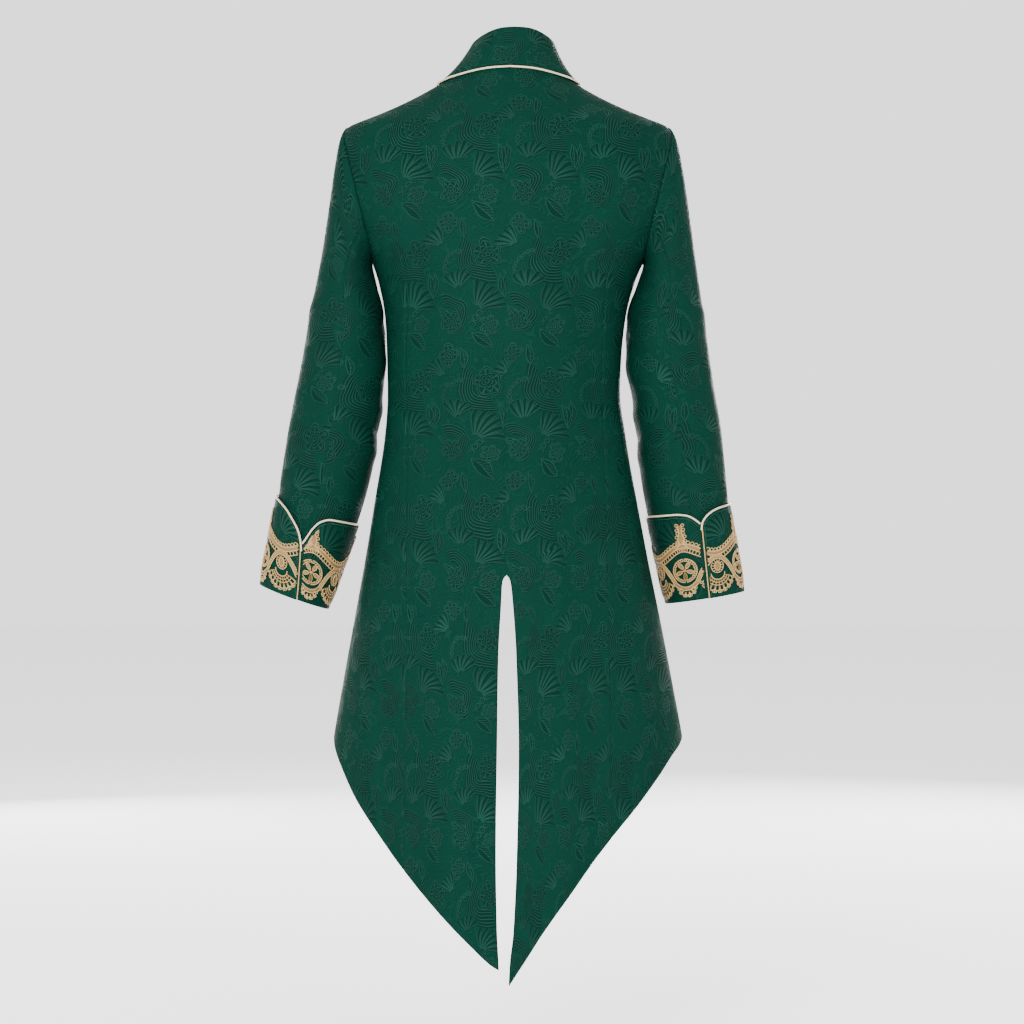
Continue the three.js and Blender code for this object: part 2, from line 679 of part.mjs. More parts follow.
function cuffWall(side) {
  const rows = even(2);
  const layer = (lift) =>
    rows.map((row) =>
      cuffColumns(side).map((turn) => {
        const high = lerp(-CUFF_HEM_OVERHANG, cuffEdges[side](turn, 'high'), row);
        return mirrored(cuffPoint(side, turn, high, cuffLift(side, turn) + lift), side);
      }),
    );
  return wall(layer(CLOTH), layer(0));
}

const PIPING_SIDES = 5;

// A round cord with closed ends along a path. normals point away from the cloth at each stop.
function pipe(path, normals) {
  const points = [];
  const index = [];
  path.forEach((centre, i) => {
    const before = path[Math.max(0, i - 1)];
    const after = path[Math.min(path.length - 1, i + 1)];
    const along = after.clone().sub(before).normalize();
    const across = normals[i].clone().cross(along).normalize();
    const up = along.clone().cross(across).normalize();
    for (let k = 0; k < PIPING_SIDES; k += 1) {
      const a = (2 * Math.PI * k) / PIPING_SIDES;
      const p = centre.clone().addScaledVector(across, PIPING_RADIUS * Math.cos(a));
      points.push(p.addScaledVector(up, PIPING_RADIUS * Math.sin(a)));
    }
  });
  const id = (i, k) => i * PIPING_SIDES + (k % PIPING_SIDES);
  for (let i = 0; i < path.length - 1; i += 1) {
    for (let k = 0; k < PIPING_SIDES; k += 1) {
      index.push(id(i, k), id(i, k + 1), id(i + 1, k + 1), id(i, k), id(i + 1, k + 1), id(i + 1, k));
    }
  }
  for (let k = 1; k < PIPING_SIDES - 1; k += 1) {
    const last = path.length - 1;
    index.push(id(0, 0), id(0, k + 1), id(0, k), id(last, 0), id(last, k), id(last, k + 1));
  }
  return solidGeometry(points, index);
}

const PIPING_SEAT = PIPING_RADIUS + 1; // from a cloth edge to the middle of the cord
const PIPING_STEP = 7; // degrees round the cuff
const PIPING_END_TURN = 351;
const PIPING_NOTCH = { end: 20, start: 315 }; // every column is kept between these two, at the notch
const PIPING_REST = 0.3;
const LAP_EDGE_SHARES = [0, 0.25, 0.5, 0.75, 1.01];

function cuffPiping(side) {
  const stops = [];
  const edgeHigh = cuffEdges[side](0, 'high');
  const lapTurn = -PIPING_SEAT / WRIST_RADIUS / RAD;
  const atNotch = (turn) => turn < PIPING_NOTCH.end || turn > PIPING_NOTCH.start;
  LAP_EDGE_SHARES.forEach((share) => stops.push({ turn: lapTurn, high: share * edgeHigh }));
  cuffColumns(side)
    .filter((turn) => turn > 0 && turn < PIPING_END_TURN)
    .filter((turn, i, turns) => atNotch(turn) || i % 2 === 0 || turns[i + 1] - turn > PIPING_STEP)
    .forEach((turn) => {
      const rise = cuffEdges[side](turn + 1, 'high') - cuffEdges[side](turn - 1, 'high');
      const slope = rise / 2 / MM_ROUND;
      const seat = PIPING_SEAT / Math.hypot(1, slope);
      stops.push({ turn: turn - (seat * slope) / MM_ROUND, high: cuffEdges[side](turn, 'high') + seat });
    });
  const place = (stop, more) => {
    const lift = cuffLift(side, Math.max(0, stop.turn)) + CLOTH / 2 + PIPING_REST + more;
    return mirrored(cuffPoint(side, stop.turn, stop.high, lift), side);
  };
  const path = stops.map((stop) => place(stop, 0));
  const normals = stops.map((stop, i) => place(stop, 5).sub(path[i]).normalize());
  return pipe(path, normals);
}

// The collar: a stand that rises from the neck seam, a fold, and a fall that ends on the shoulder.
const COLLAR_END = 168;
const FOLD_RADIUS = 3;
const STAND_SHARES = [0, 0.5, 0.93];
const FALL_SHARES = [0.06, 0.3, 0.55, 0.8, 1];
const COLLAR_COLUMNS = 22;
const COLLAR_REST = 1.3; // between the fall and the shoulder
const FALL_BEND = 0.1;
const FALL_BEND_LIFT = 5;

// One line of points from the seam over the fold to the fall's edge, in the middle of the cloth.
function collarLine(turn) {
  const degrees = Math.abs(turn) / RAD;
  const out = V(Math.sin(turn), Math.cos(turn), 0);
  const seam = neckSeam(Math.abs(turn));
  seam.x = Math.abs(seam.x) * Math.sign(turn || 1);
  const root = seam.clone().addScaledVector(out, -COLLAR_THICK / 2);
  root.z += COLLAR_THICK / 2 + SEAM_GAP;
  const foldTop = seam.clone().addScaledVector(out, -collarAt(degrees, 'foldIn'));
  foldTop.z = collarAt(degrees, 'fold');
  const standTop = foldTop.clone().addScaledVector(out, -FOLD_RADIUS);
  const fallTop = foldTop.clone().addScaledVector(out, FOLD_RADIUS);
  const reach = collarAt(degrees, 'reach');
  const rest = COLLAR_REST + COLLAR_THICK / 2 + lapLift(turn);
  const edge = yokePoint(Math.abs(turn), reach, rest);
  edge.x = Math.abs(edge.x) * Math.sign(turn || 1);
  const bend = yokePoint(Math.abs(turn), FALL_BEND * reach, FALL_BEND_LIFT + rest);
  bend.x = Math.abs(bend.x) * Math.sign(turn || 1);
  const fall = new THREE.QuadraticBezierCurve3(fallTop, bend, edge);
  return [
    ...STAND_SHARES.map((share) => root.clone().lerp(standTop, share)),
    foldTop.clone().add(V(0, 0, FOLD_RADIUS * 0.9)),
    ...FALL_SHARES.map((share) => fall.getPoint(share)),
  ];
}

function collarGrid() {
  const turns = even(COLLAR_COLUMNS).map((share) => lerp(-COLLAR_END, COLLAR_END, share) * RAD);
  return turns.map((turn) => collarLine(turn));
}

function collarWall() {
  const grid = collarGrid();
  const normal = (i, j) => {
    const down = grid[i][Math.min(j + 1, grid[i].length - 1)].clone().sub(grid[i][Math.max(j - 1, 0)]);
    const round = grid[Math.min(i + 1, grid.length - 1)][j].clone().sub(grid[Math.max(i - 1, 0)][j]);
    return down.cross(round).normalize();
  };
  const layer = (lift) =>
    grid.map((line, i) => line.map((p, j) => posed(p.clone().addScaledVector(normal(i, j), lift))));
  return wall(layer(COLLAR_THICK / 2), layer(-COLLAR_THICK / 2));
}

function collarPiping() {
  const turns = even(COLLAR_COLUMNS).map((share) => lerp(-COLLAR_END, COLLAR_END, share));
  const place = (degrees, lift) => {
    const reach = collarAt(Math.abs(degrees), 'reach');
    const yokeLength = yoke(Math.abs(degrees) * RAD, 0).distanceTo(yoke(Math.abs(degrees) * RAD, 1));
    const out = lift + lapLift(degrees * RAD);
    const down = reach + (PIPING_SEAT + COLLAR_REST / 2) / yokeLength;
    const p = yokePoint(Math.abs(degrees) * RAD, down, out);
    p.x = Math.abs(p.x) * Math.sign(degrees || 1);
    return posed(p);
  };
  const path = turns.map((degrees) => place(degrees, PIPING_SEAT + PIPING_REST));
  const normals = turns.map((degrees, i) => place(degrees, PIPING_SEAT + 5).sub(path[i]).normalize());
  return pipe(path, normals);
}

// The lace on a cuff. Its design repeats round the cuff: a fan under an arch, and between two
// fans a flower in an oval opening under a finial that rises up the cuff.
const LACE_END_TURN = 354;
const LACE_SPLIT = 0.2; // degrees from the side of the cuff where the ring is in two halves
const LACE_FOOT = 2;
const LACE_BAND_TOP = 69;
const FINIAL_TOP = 106;
const LACE_EDGE_ROOM = 5; // the least cloth left bare between the lace and the piping
const FINIAL_SHARE = 0.06; // half-width of the finial, as a share of a repeat
const SWAG = 8; // the lace's top edge rises to a flower and dips over a fan by this much
const SCALLOP = 7; // its foot rises by this much between two fans

// share runs from 0 at a flower to 1 at the next, with a fan at 0.5.
function laceTop(share) {
  const fromFlower = Math.min(share, 1 - share);
  const atFinial = Math.exp(-((fromFlower / FINIAL_SHARE) ** 2));
  const swagTop = LACE_BAND_TOP + SWAG * Math.cos(2 * Math.PI * share);
  return lerp(swagTop, FINIAL_TOP, atFinial);
}

function laceFoot(share) {
  return LACE_FOOT + SCALLOP * Math.abs(Math.cos(Math.PI * share)) ** 3;
}

function lacePoint(side, turnDegrees, high, lift) {
  const onCuff = cuffLift(side, turnDegrees) + CLOTH + LACE_CLEARANCE;
  return mirrored(cuffPoint(side, turnDegrees, high, onCuff + lift), side);
}

function shareAt(side, turnDegrees) {
  const fromFan = (turnDegrees - CUFFS[side].laceTurn) / repeatTurn;
  return THREE.MathUtils.euclideanModulo(fromFan + 0.5, 1);
}

function laceColumns(side, from, to) {
  return [from, ...cuffColumns(side).filter((turn) => turn > from + 1 && turn < to - 1), to];
}

function asManifold(geometry) {
  const merged = mergeVertices(geometry);
  const vertProperties = merged.attributes.position.array;
  const triVerts = new Uint32Array(merged.index.array);
  return new wasm.Manifold(new wasm.Mesh({ numProp: 3, vertProperties, triVerts }));
}

function asGeometry(solid) {
  const mesh = solid.getMesh();
  const geometry = new THREE.BufferGeometry();
  geometry.setAttribute('position', new THREE.Float32BufferAttribute(mesh.vertProperties, mesh.numProp));
  geometry.setIndex(Array.from(mesh.triVerts));
  return geometry;
}

// The gaps of one repeat that are wider than 4 mm: five between the bars of a fan and five
// between the petals of a flower, each from near to far of the middle it radiates from.
const FLOWER = { high: 41, gaps: 5, near: 4.5, far: 13, nearHalf: 1, farHalf: 4.2 };
const FAN = { high: 29, slots: 5, spread: 1.15, near: 12, far: 22, nearHalf: 1.5, farHalf: 3.2 };
const GAP_ROUNDING = 0.7;

// One gap's outline, in degrees round and heights. direction is a turn from straight up.
function wedge(middleTurn, gap, direction) {
  const place = (out, across) => ({
    turn: middleTurn + (Math.sin(direction) * out + Math.cos(direction) * across) / MM_ROUND,
    high: gap.high + Math.cos(direction) * out - Math.sin(direction) * across,
  });
  const shoulder = gap.far - GAP_ROUNDING * gap.farHalf;
  return [
    place(gap.near, -gap.nearHalf),
    place(gap.near, gap.nearHalf),
    place(shoulder, gap.farHalf),
    place(gap.far, 0),
    place(shoulder, -gap.farHalf),
  ];
}

function laceGaps(side) {
  const gaps = [];
  for (let repeat = -1; repeat <= LACE_REPEATS; repeat += 1) {
    const fanTurn = CUFFS[side].laceTurn + repeat * repeatTurn;
    for (let i = 0; i < FAN.slots; i += 1) {
      const direction = Math.PI + lerp(-FAN.spread, FAN.spread, i / (FAN.slots - 1));
      gaps.push(wedge(fanTurn, FAN, direction));
    }
    for (let i = 0; i < FLOWER.gaps; i += 1) {
      const direction = Math.PI / FLOWER.gaps + (2 * Math.PI * i) / FLOWER.gaps;
      gaps.push(wedge(fanTurn + repeatTurn / 2, FLOWER, direction));
    }
  }
  return gaps;
}

function laceEdges(side, turn) {
  const share = shareAt(side, turn);
  const room = cuffEdges[side](turn, 'high') - LACE_EDGE_ROOM;
  return { foot: laceFoot(share), top: Math.min(laceTop(share), room) };
}

const LACE_ROWS = 2;
const GAP_BORDER = 1.5; // lace left between a gap and the lace's own edges
const CUT_OVER = 6; // the cutting solids reach this far above and below the cloth
const CUT_UNDER = -5;

function laceWall(side, from, to) {
  const layer = (lift) =>
    even(LACE_ROWS).map((row) =>
      laceColumns(side, from, to).map((turn) => {
        const { foot, top } = laceEdges(side, turn);
        return lacePoint(side, turn, lerp(foot, top, row), lift);
      }),
    );
  const inside = (p) => {
    const { foot, top } = laceEdges(side, p.turn);
    const between = p.high < top - GAP_BORDER && p.high > foot + GAP_BORDER;
    return between && p.turn > from + GAP_BORDER && p.turn < to - GAP_BORDER;
  };
  let solid = asManifold(wall(layer(LACE_THICK), layer(0)));
  laceGaps(side)
    .filter((outline) => outline.every(inside))
    .forEach((outline) => {
      const face = (lift) => outline.map((p) => lacePoint(side, p.turn, p.high, lift));
      solid = solid.subtract(asManifold(prism(face(CUT_OVER), face(CUT_UNDER))));
    });
  return asGeometry(solid);
}

// The solid between two copies of an outline.
function prism(over, under) {
  const count = over.length;
  const index = [];
  for (let k = 1; k < count - 1; k += 1) {
    index.push(0, k, k + 1, count, count + k + 1, count + k);
  }
  for (let k = 0; k < count; k += 1) {
    const next = (k + 1) % count;
    index.push(k, count + k, count + next, k, count + next, next);
  }
  return solidGeometry([...over, ...under], index);
}

// Buttons down the centre front, set on the left front.
const FIRST_BUTTON_Z = -95;
const LAST_BUTTON_Z = -405;
const SEAT_SEARCH = 30; // the seat is looked for from this far out

function button(number) {
  const z = lerp(FIRST_BUTTON_Z, LAST_BUTTON_Z, number / (BUTTON_COUNT - 1));
  const profile = [
    new THREE.Vector2(0, 0),
    new THREE.Vector2(BUTTON_RADIUS * 0.86, 0),
    new THREE.Vector2(BUTTON_RADIUS, BUTTON_THICK * 0.4),
    new THREE.Vector2(BUTTON_RADIUS * 0.75, BUTTON_THICK),
    new THREE.Vector2(0, BUTTON_THICK),
  ];
  const geometry = new THREE.LatheGeometry(profile, BUTTON_SIDES);
  geometry.deleteAttribute('uv');
  geometry.deleteAttribute('normal');
  const seat = posed(trunkPoint(Math.PI, z, 0));
  const outward = posed(trunkPoint(Math.PI, z, 10)).sub(seat).normalize();
  const front = group.children.find((mesh) => mesh.name === 'front_left');
  const turned = new THREE.Quaternion().setFromUnitVectors(V(0, 1, 0), outward);
  const heights = even(BUTTON_SIDES).map((share) => {
    const a = share * 2 * Math.PI;
    const rim = V(Math.cos(a), 0, Math.sin(a)).multiplyScalar(BUTTON_RADIUS);
    const from = rim.applyQuaternion(turned).add(seat).addScaledVector(outward, SEAT_SEARCH);
    const [hit] = new THREE.Raycaster(from, outward.clone().negate()).intersectObject(front);
    return SEAT_SEARCH - hit.distance;
  });
  const mesh = new THREE.Mesh(mergeVertices(geometry), materials.button);
  mesh.name = `button_${number + 1}`;
  mesh.position.copy(seat.addScaledVector(outward, Math.max(...heights) + SEAM_GAP));
  mesh.quaternion.copy(turned);
  group.add(mesh);
}

Object.keys(sides).forEach((side) => {
  add(`back_${side}`, backPanel(side), 'brocade');
  add(`side_back_${side}`, sideBackPanel(side), 'brocade');
  add(`front_${side}`, frontPanel(side), 'brocade');
  add(`sleeve_upper_${side}`, sleevePanel(side, 'upper'), 'brocade');
  add(`sleeve_under_${side}`, sleevePanel(side, 'under'), 'brocade');
  add(`cuff_${side}`, cuffWall(side), 'brocade');
  add(`cuff_piping_${side}`, cuffPiping(side), 'satin');
  add(`lace_${side}_outer`, laceWall(side, 1, 180 - LACE_SPLIT), 'lace');
  add(`lace_${side}_inner`, laceWall(side, 180 + LACE_SPLIT, LACE_END_TURN), 'lace');
});
add('collar', collarWall(), 'brocade');
add('collar_piping', collarPiping(), 'satin');
for (let i = 0; i < BUTTON_COUNT; i += 1) button(i);

export default group;
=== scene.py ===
import math

import bpy
import numpy as np
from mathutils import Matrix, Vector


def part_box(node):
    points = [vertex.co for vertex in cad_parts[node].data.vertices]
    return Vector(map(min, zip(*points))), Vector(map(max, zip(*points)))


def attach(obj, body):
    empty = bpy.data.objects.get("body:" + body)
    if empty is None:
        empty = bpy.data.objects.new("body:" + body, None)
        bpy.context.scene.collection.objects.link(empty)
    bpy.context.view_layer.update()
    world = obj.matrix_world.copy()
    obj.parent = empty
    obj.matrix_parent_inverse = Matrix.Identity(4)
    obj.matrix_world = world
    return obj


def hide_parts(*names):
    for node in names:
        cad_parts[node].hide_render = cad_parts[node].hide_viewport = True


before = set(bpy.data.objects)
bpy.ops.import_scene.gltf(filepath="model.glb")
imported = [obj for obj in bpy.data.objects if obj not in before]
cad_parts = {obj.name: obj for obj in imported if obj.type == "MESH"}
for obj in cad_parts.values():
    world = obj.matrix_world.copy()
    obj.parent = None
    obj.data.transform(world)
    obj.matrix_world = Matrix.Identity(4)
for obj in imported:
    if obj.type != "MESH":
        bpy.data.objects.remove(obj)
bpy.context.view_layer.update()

# The jacket's cloth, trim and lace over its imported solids. Lengths are in millimetres up to the
# point where a mesh is made. +Z is up, the centre back faces +Y and the wearer's left is +X.
MM = 0.001
CLOTH = 1.5
SEAM_GAP = -0.1
LACE_THICK = 0.7
PIPING_RADIUS = 1.3
COLLAR_THICK = 2.0

NECK_HALF_WIDTH = 68
NECK_BACK = 58
NECK_FRONT = 74
NECK_LEAN = -0.12
SHOULDER_TIP_Z = -47
ARMHOLE_FOOT_Z = -228
ARMHOLE_BACK_TURN = 28
ARMHOLE_FRONT_TURN = 31
SIDE_SEAM_TURN = 96
SIDE_BACK_SEAM_X = 129
SIDE_BACK_SEAM_TOP_Z = -183
SIDE_BACK_SEAM_BEND = 22
WAIST_BAND_TOP_Z = -300
SKIRT_TOP_Z = -430
VENT_TOP_Z = -640
FRONT_LAP = 12
FRONT_LAP_LIFT = 2.7
YOKE_FRONT_DROP = 56
YOKE_HOLLOW = 4
YOKE_END_WIDE = 150
TAIL_SEAM_DRIFT = 6
TAIL_LENGTH = 560

# One row for each level of the body: height, half-width, depths behind and in front, and sway.
BODY = [
    (-47, 213, 96, 74, 0), (-57, 222, 99, 80, 0), (-75, 229, 104, 89, 0), (-98, 231, 109, 98, 0),
    (-136, 226, 115, 109, 0), (-173, 211, 118, 115, 0), (-218, 186, 119, 118, 0),
    (-228, 180, 119, 118, 0.5), (-260, 168.5, 117, 117, 2), (-300, 160, 112, 114, 3.5),
    (-352, 155.5, 103, 108, 5), (-400, 154, 95, 104, 5.5), (-460, 160, 98, 108, 3.5),
    (-540, 173.5, 112, 116, 3), (-620, 187.5, 122, 120, 2), (-700, 203, 126, 121, 1),
    (-780, 218, 126, 120, 0.5), (-858, 232, 124, 118, 0), (-1000, 255, 120, 116, 0),
    (-1180, 278, 112, 112, 0),
]

# The neck seam and collar by degrees from the centre back: seam, fold, fold's lean and reach.
COLLAR = [
    (0, 44, 74, 5, 0.18), (12, 43.6, 73.5, 5.2, 0.19), (45, 33, 66, 10, 0.215), (60, 26, 61, 11.5, 0.21),
    (90, 13, 49, 13, 0.16), (130, -13, 24, 6, 0.34), (160, -46, -9, 3, 0.6), (180, -58, -24, 1, 0.74),
]

# The hem by degrees from the centre back, as heights on the wearer's left and right.
HEM = [
    (0, -1156, -1172), (4.4, -1144, -1140), (10, -1120, -1100), (18, -1084, -1052),
    (26, -1047, -1008), (34, -1011, -973), (43, -973, -941), (54, -934, -907), (67, -893, -877),
    (80, -867, -862), (88, -856, -856), (96, -842, -842), (110, -792, -792), (130, -690, -690),
    (150, -573, -573), (165, -490, -490), (175, -449, -449), (180, -442, -442), (187, -436, -436),
]

# Half the opening of the vent at each level, on the wearer's left and right.
VENT = [
    (-640, 0, 0), (-643, 3.2, 3), (-650, 5.6, 5.2), (-676, 7.4, 7.6), (-742, 11.5, 11.5),
    (-862, 14, 14), (-1000, 15.5, 11.5), (-1101, 14, 7), (-1141, 12, 2.5), (-1180, 11, 0.5),
]

# The sleeves, ring by ring from the armpit: outer x and z, inner x and z, forward hang, depth.
RING = ("out_x", "out_z", "in_x", "in_z", "fore", "deep")
SLEEVES = {
    "left": [
        (255, -258, 173.5, -262, 1, 59), (264, -300, 166.5, -304, 2, 63),
        (274, -356, 163.5, -356, 4, 62), (284.6, -408, 167.6, -412, 8, 59),
        (294, -455, 175, -470, 14, 57), (301.5, -498, 186, -522, 20, 55),
        (307, -536, 201.5, -573, 27, 52), (331, -655, 244, -687, 42, 46),
    ],
    "right": [
        (254, -258, 170, -262, 1, 59), (260.5, -300, 159.5, -304, 2, 63),
        (268.7, -356, 157.5, -356, 4, 62), (276.6, -408, 166, -412, 8, 59),
        (285, -455, 171.5, -464, 14, 57), (290.5, -503, 178, -516, 20, 55),
        (295, -549, 187, -564, 27, 52), (315, -664, 214, -680, 42, 48),
    ],
}
WRIST_RING = 6
ARMHOLE_LOW = 32
SLEEVE_START_GAP = -0.4
CAP_OUT = 13
CAP_OUT_ARMPIT = 3
CAP_HANG = 0.5
CAP_SPREAD = 0.25
CAP_DROP = -0.1

# The cuffs: turns of the overlap's edge and of the lace, and the upper edge by degrees round.
CUFFS = {
    "left": {
        "hem_turn": -8, "notch_turn": 7, "lace_turn": 26, "clearance": 1.9,
        "edge": [
            (0, 70), (4, 85), (12, 96), (27, 109), (45, 115), (84, 120), (180, 119), (270, 118),
            (318, 114), (332, 107), (342, 95), (352, 77), (360, 66), (370, 60),
        ],
    },
    "right": {
        "hem_turn": 4, "notch_turn": 12, "lace_turn": 14, "clearance": 1.6,
        "edge": [
            (0, 98), (6, 106), (16, 112), (30, 115), (84, 117), (180, 117), (270, 117),
            (322, 115), (338, 112), (348, 106), (354, 100), (360, 93), (370, 84),
        ],
    },
}
CUFF_LAP_TURN = 370
CUFF_LAP_LIFT = 2.5
CUFF_LAP_EASE = 75
CUFF_HEM_OVERHANG = 1
LACE_CLEARANCE = 0.45
LACE_END_TURN = 354
REPEAT_TURN = 90
WRIST_RADIUS = 55
ROUND_MM = WRIST_RADIUS * math.pi / 180
RING_MM = 52
SLEEVE_WIDE = 165
COLLAR_ROUND = 640
COLLAR_END = 168
FOLD_RADIUS = 3
FOLD_RISE = 2.7
COLLAR_REST = 1.3
FALL_BEND = 0.1
FALL_BEND_LIFT = 5
SIDES = {"left": 1, "right": -1}

CELL = 4.0
EDGE_STEPS = (0.9, 2.4)
VENT_STEPS = (-1, 1.5, 4.5, 8)
SKIRT_LONG = 700
EASE_PASSES = 6
EASE_ROWS = 5


def mix(a, b, share):
    return a + (b - a) * share


def smooth(value, low, high):
    t = np.clip((value - low) / (high - low), 0, 1)
    return t * t * (3 - 2 * t)


def unit(vectors):
    return vectors / np.maximum(np.linalg.norm(vectors, axis=-1, keepdims=True), 1e-9)


def place(x, y, z):
    return np.stack(np.broadcast_arrays(x, y, z), axis=-1).astype(float)


def reader(names, rows):
    """Reads a table's columns between its rows along a curve that never overshoots them."""
    table = np.array(sorted(rows), float)
    at = table[:, 0]

    def slopes(values):
        step = np.diff(values) / np.diff(at)
        total = np.where(step[1:] + step[:-1] == 0, 1, step[1:] + step[:-1])
        inner = np.where(step[1:] * step[:-1] > 0, 2 * step[1:] * step[:-1] / total, 0)
        return np.concatenate([step[:1], inner, step[-1:]])

    curves = {name: (table[:, i + 1], slopes(table[:, i + 1])) for i, name in enumerate(names)}

    def read(value, name):
        values, slope = curves[name]
        x = np.clip(value, at[0], at[-1])
        i = np.clip(np.searchsorted(at, x) - 1, 0, len(at) - 2)
        width = at[i + 1] - at[i]
        t = (x - at[i]) / width
        near = (1 + 2 * t) * (1 - t) ** 2 * values[i] + t * (1 - t) ** 2 * width * slope[i]
        far = t * t * (3 - 2 * t) * values[i + 1] + t * t * (t - 1) * width * slope[i + 1]
        return near + far

    return read


body = reader(("wide", "back", "front", "sway"), BODY)
collar_at = reader(("seam", "fold", "fold_in", "reach"), COLLAR)
hem_at = reader(("left", "right"), HEM)
vent_at = reader(("left", "right"), VENT)
ring_at = {side: reader(RING, [(i, *r) for i, r in enumerate(rings)]) for side, rings in SLEEVES.items()}
cuff_edge = {side: reader(("high",), cuff["edge"]) for side, cuff in CUFFS.items()}


def posed(points, side):
    """Turns points of the left half to their side, then leans the neck and sways the waist."""
    p = points.copy()
    p[..., 0] *= SIDES[side]
    z = p[..., 2]
    p[..., 0] += NECK_LEAN * np.maximum(0, z) + np.where(z < SHOULDER_TIP_Z, body(z, "sway"), 0)
    return p


def trunk(turn, z):
    """The body's outer surface below the shoulders."""
    c = np.cos(turn)
    depth = np.where(c > 0, body(z, "back"), body(z, "front"))
    return place(body(z, "wide") * np.sin(turn), depth * c, z)


def neck_seam(turn):
    c = np.cos(turn)
    degrees = np.degrees(turn)
    z = collar_at(np.minimum(degrees, 360 - degrees), "seam")
    return place(NECK_HALF_WIDTH * np.sin(turn), np.where(c > 0, NECK_BACK, NECK_FRONT) * c, z)


def yoke_foot(turn):
    return SHOULDER_TIP_Z - YOKE_FRONT_DROP * smooth(np.degrees(turn), 90, 170)


def yoke(turn, down):
    """The shoulder, from the neck seam at down = 0 to its lower edge at down = 1."""
    from_neck = neck_seam(turn)
    p = mix(from_neck, trunk(turn, yoke_foot(turn)), down[..., None])
    p[..., 2] -= YOKE_HOLLOW * np.sin(np.pi * down)
    return p


def normal_of(surface, a, b, step_a, step_b):
    along_a = surface(a + step_a, b) - surface(a - step_a, b)
    along_b = surface(a, b + step_b) - surface(a, b - step_b)
    return unit(np.cross(along_a, along_b))


def yoke_point(turn, down, lift):
    n = normal_of(yoke, turn, down, 0.01, 0.01)
    n = np.where(n[..., 2:] < 0, -n, n)
    return yoke(turn, down) + n * np.asarray(lift)[..., None]


def armhole_reach(z):
    middle = (SHOULDER_TIP_Z + ARMHOLE_FOOT_Z) / 2
    half = (SHOULDER_TIP_Z - ARMHOLE_FOOT_Z) / 2
    return np.sqrt(np.maximum(0, 1 - ((z - middle) / half) ** 2))


def half_gap(z, slant=0.0):
    return SEAM_GAP / 2 * np.hypot(1, slant) / body(z, "wide")


def armhole_back(z):
    return np.pi / 2 - np.radians(ARMHOLE_BACK_TURN) * armhole_reach(z) - half_gap(z)


def armhole_front(z):
    return np.pi / 2 + np.radians(ARMHOLE_FRONT_TURN) * armhole_reach(z) + half_gap(z)


top_z = np.float64(SIDE_BACK_SEAM_TOP_Z)
SEAM_TOP_X = trunk(armhole_back(top_z), top_z)[0]
SIDE_SEAM = math.radians(SIDE_SEAM_TURN)
SIDE_SEAM_REACH = (SIDE_SEAM - math.pi / 2) / math.radians(ARMHOLE_FRONT_TURN)
ARMHOLE_END_Z = (SHOULDER_TIP_Z + ARMHOLE_FOOT_Z) / 2 - (
    (SHOULDER_TIP_Z - ARMHOLE_FOOT_Z) / 2 * math.sqrt(1 - SIDE_SEAM_REACH**2)
)


def side_back_seam(z):
    bend = np.exp((z - SIDE_BACK_SEAM_TOP_Z) / SIDE_BACK_SEAM_BEND)
    drift = TAIL_SEAM_DRIFT * np.maximum(0, (SKIRT_TOP_Z - z) / TAIL_LENGTH)
    x = SIDE_BACK_SEAM_X + drift + (SEAM_TOP_X - SIDE_BACK_SEAM_X) * bend
    return np.arcsin(np.clip(x / body(z, "wide"), 0, 0.99))


def side_back_gap(z):
    bend = np.exp((z - SIDE_BACK_SEAM_TOP_Z) / SIDE_BACK_SEAM_BEND)
    return half_gap(z, bend * (SEAM_TOP_X - SIDE_BACK_SEAM_X) / SIDE_BACK_SEAM_BEND)


def shares_over(length, cell=CELL):
    """Even shares of a length, with closer ones beside both edges for the turned seams."""
    count = max(2, int(round(length / cell)))
    inner = np.linspace(0, 1, count + 1)
    near = np.array(EDGE_STEPS) / length
    inner = inner[(inner > near[-1] * 1.4) & (inner < 1 - near[-1] * 1.4)]
    return np.concatenate([[0], near, inner, 1 - near[::-1], [1]])


def rows_between(shares, steps, top, foot, edge_from, edge_to):
    """A grid of turns and heights between two edges, whose rows may follow a slanting hem."""
    share, step = np.meshgrid(shares, steps)
    z = mix(top(share * 0 + np.pi / 2), foot(share * 0 + np.pi / 2), step)
    for _ in range(30):
        turn = mix(edge_from(z), edge_to(z), share)
        z = mix(top(turn), foot(turn), step)
    return turn, z


def level(height):
    return lambda turn: np.full(np.shape(turn), float(height))


def hem_of(side):
    return lambda turn: hem_at(np.degrees(turn), side)


def steps_between(high, low):
    count = max(1, int(round(abs(high - low) / CELL)))
    return np.linspace(0, 1, count + 1)[1:]


def grid_normals(grid, outward):
    n = unit(np.cross(np.gradient(grid, axis=0), np.gradient(grid, axis=1)))
    facing = np.sum(n * outward, axis=-1, keepdims=True)
    return np.where(np.sum(facing) < 0, -n, n)


def eased(grid, rows):
    """Rounds the change of slope across the named rows, and leaves the edge columns alone."""
    g = grid.copy()
    low, high = max(1, rows[0]), min(len(g) - 1, rows[1])
    for _ in range(EASE_PASSES):
        g[low:high] = g[low:high] / 2 + (g[low - 1:high - 1] + g[low + 1:high + 1]) / 4
    return g


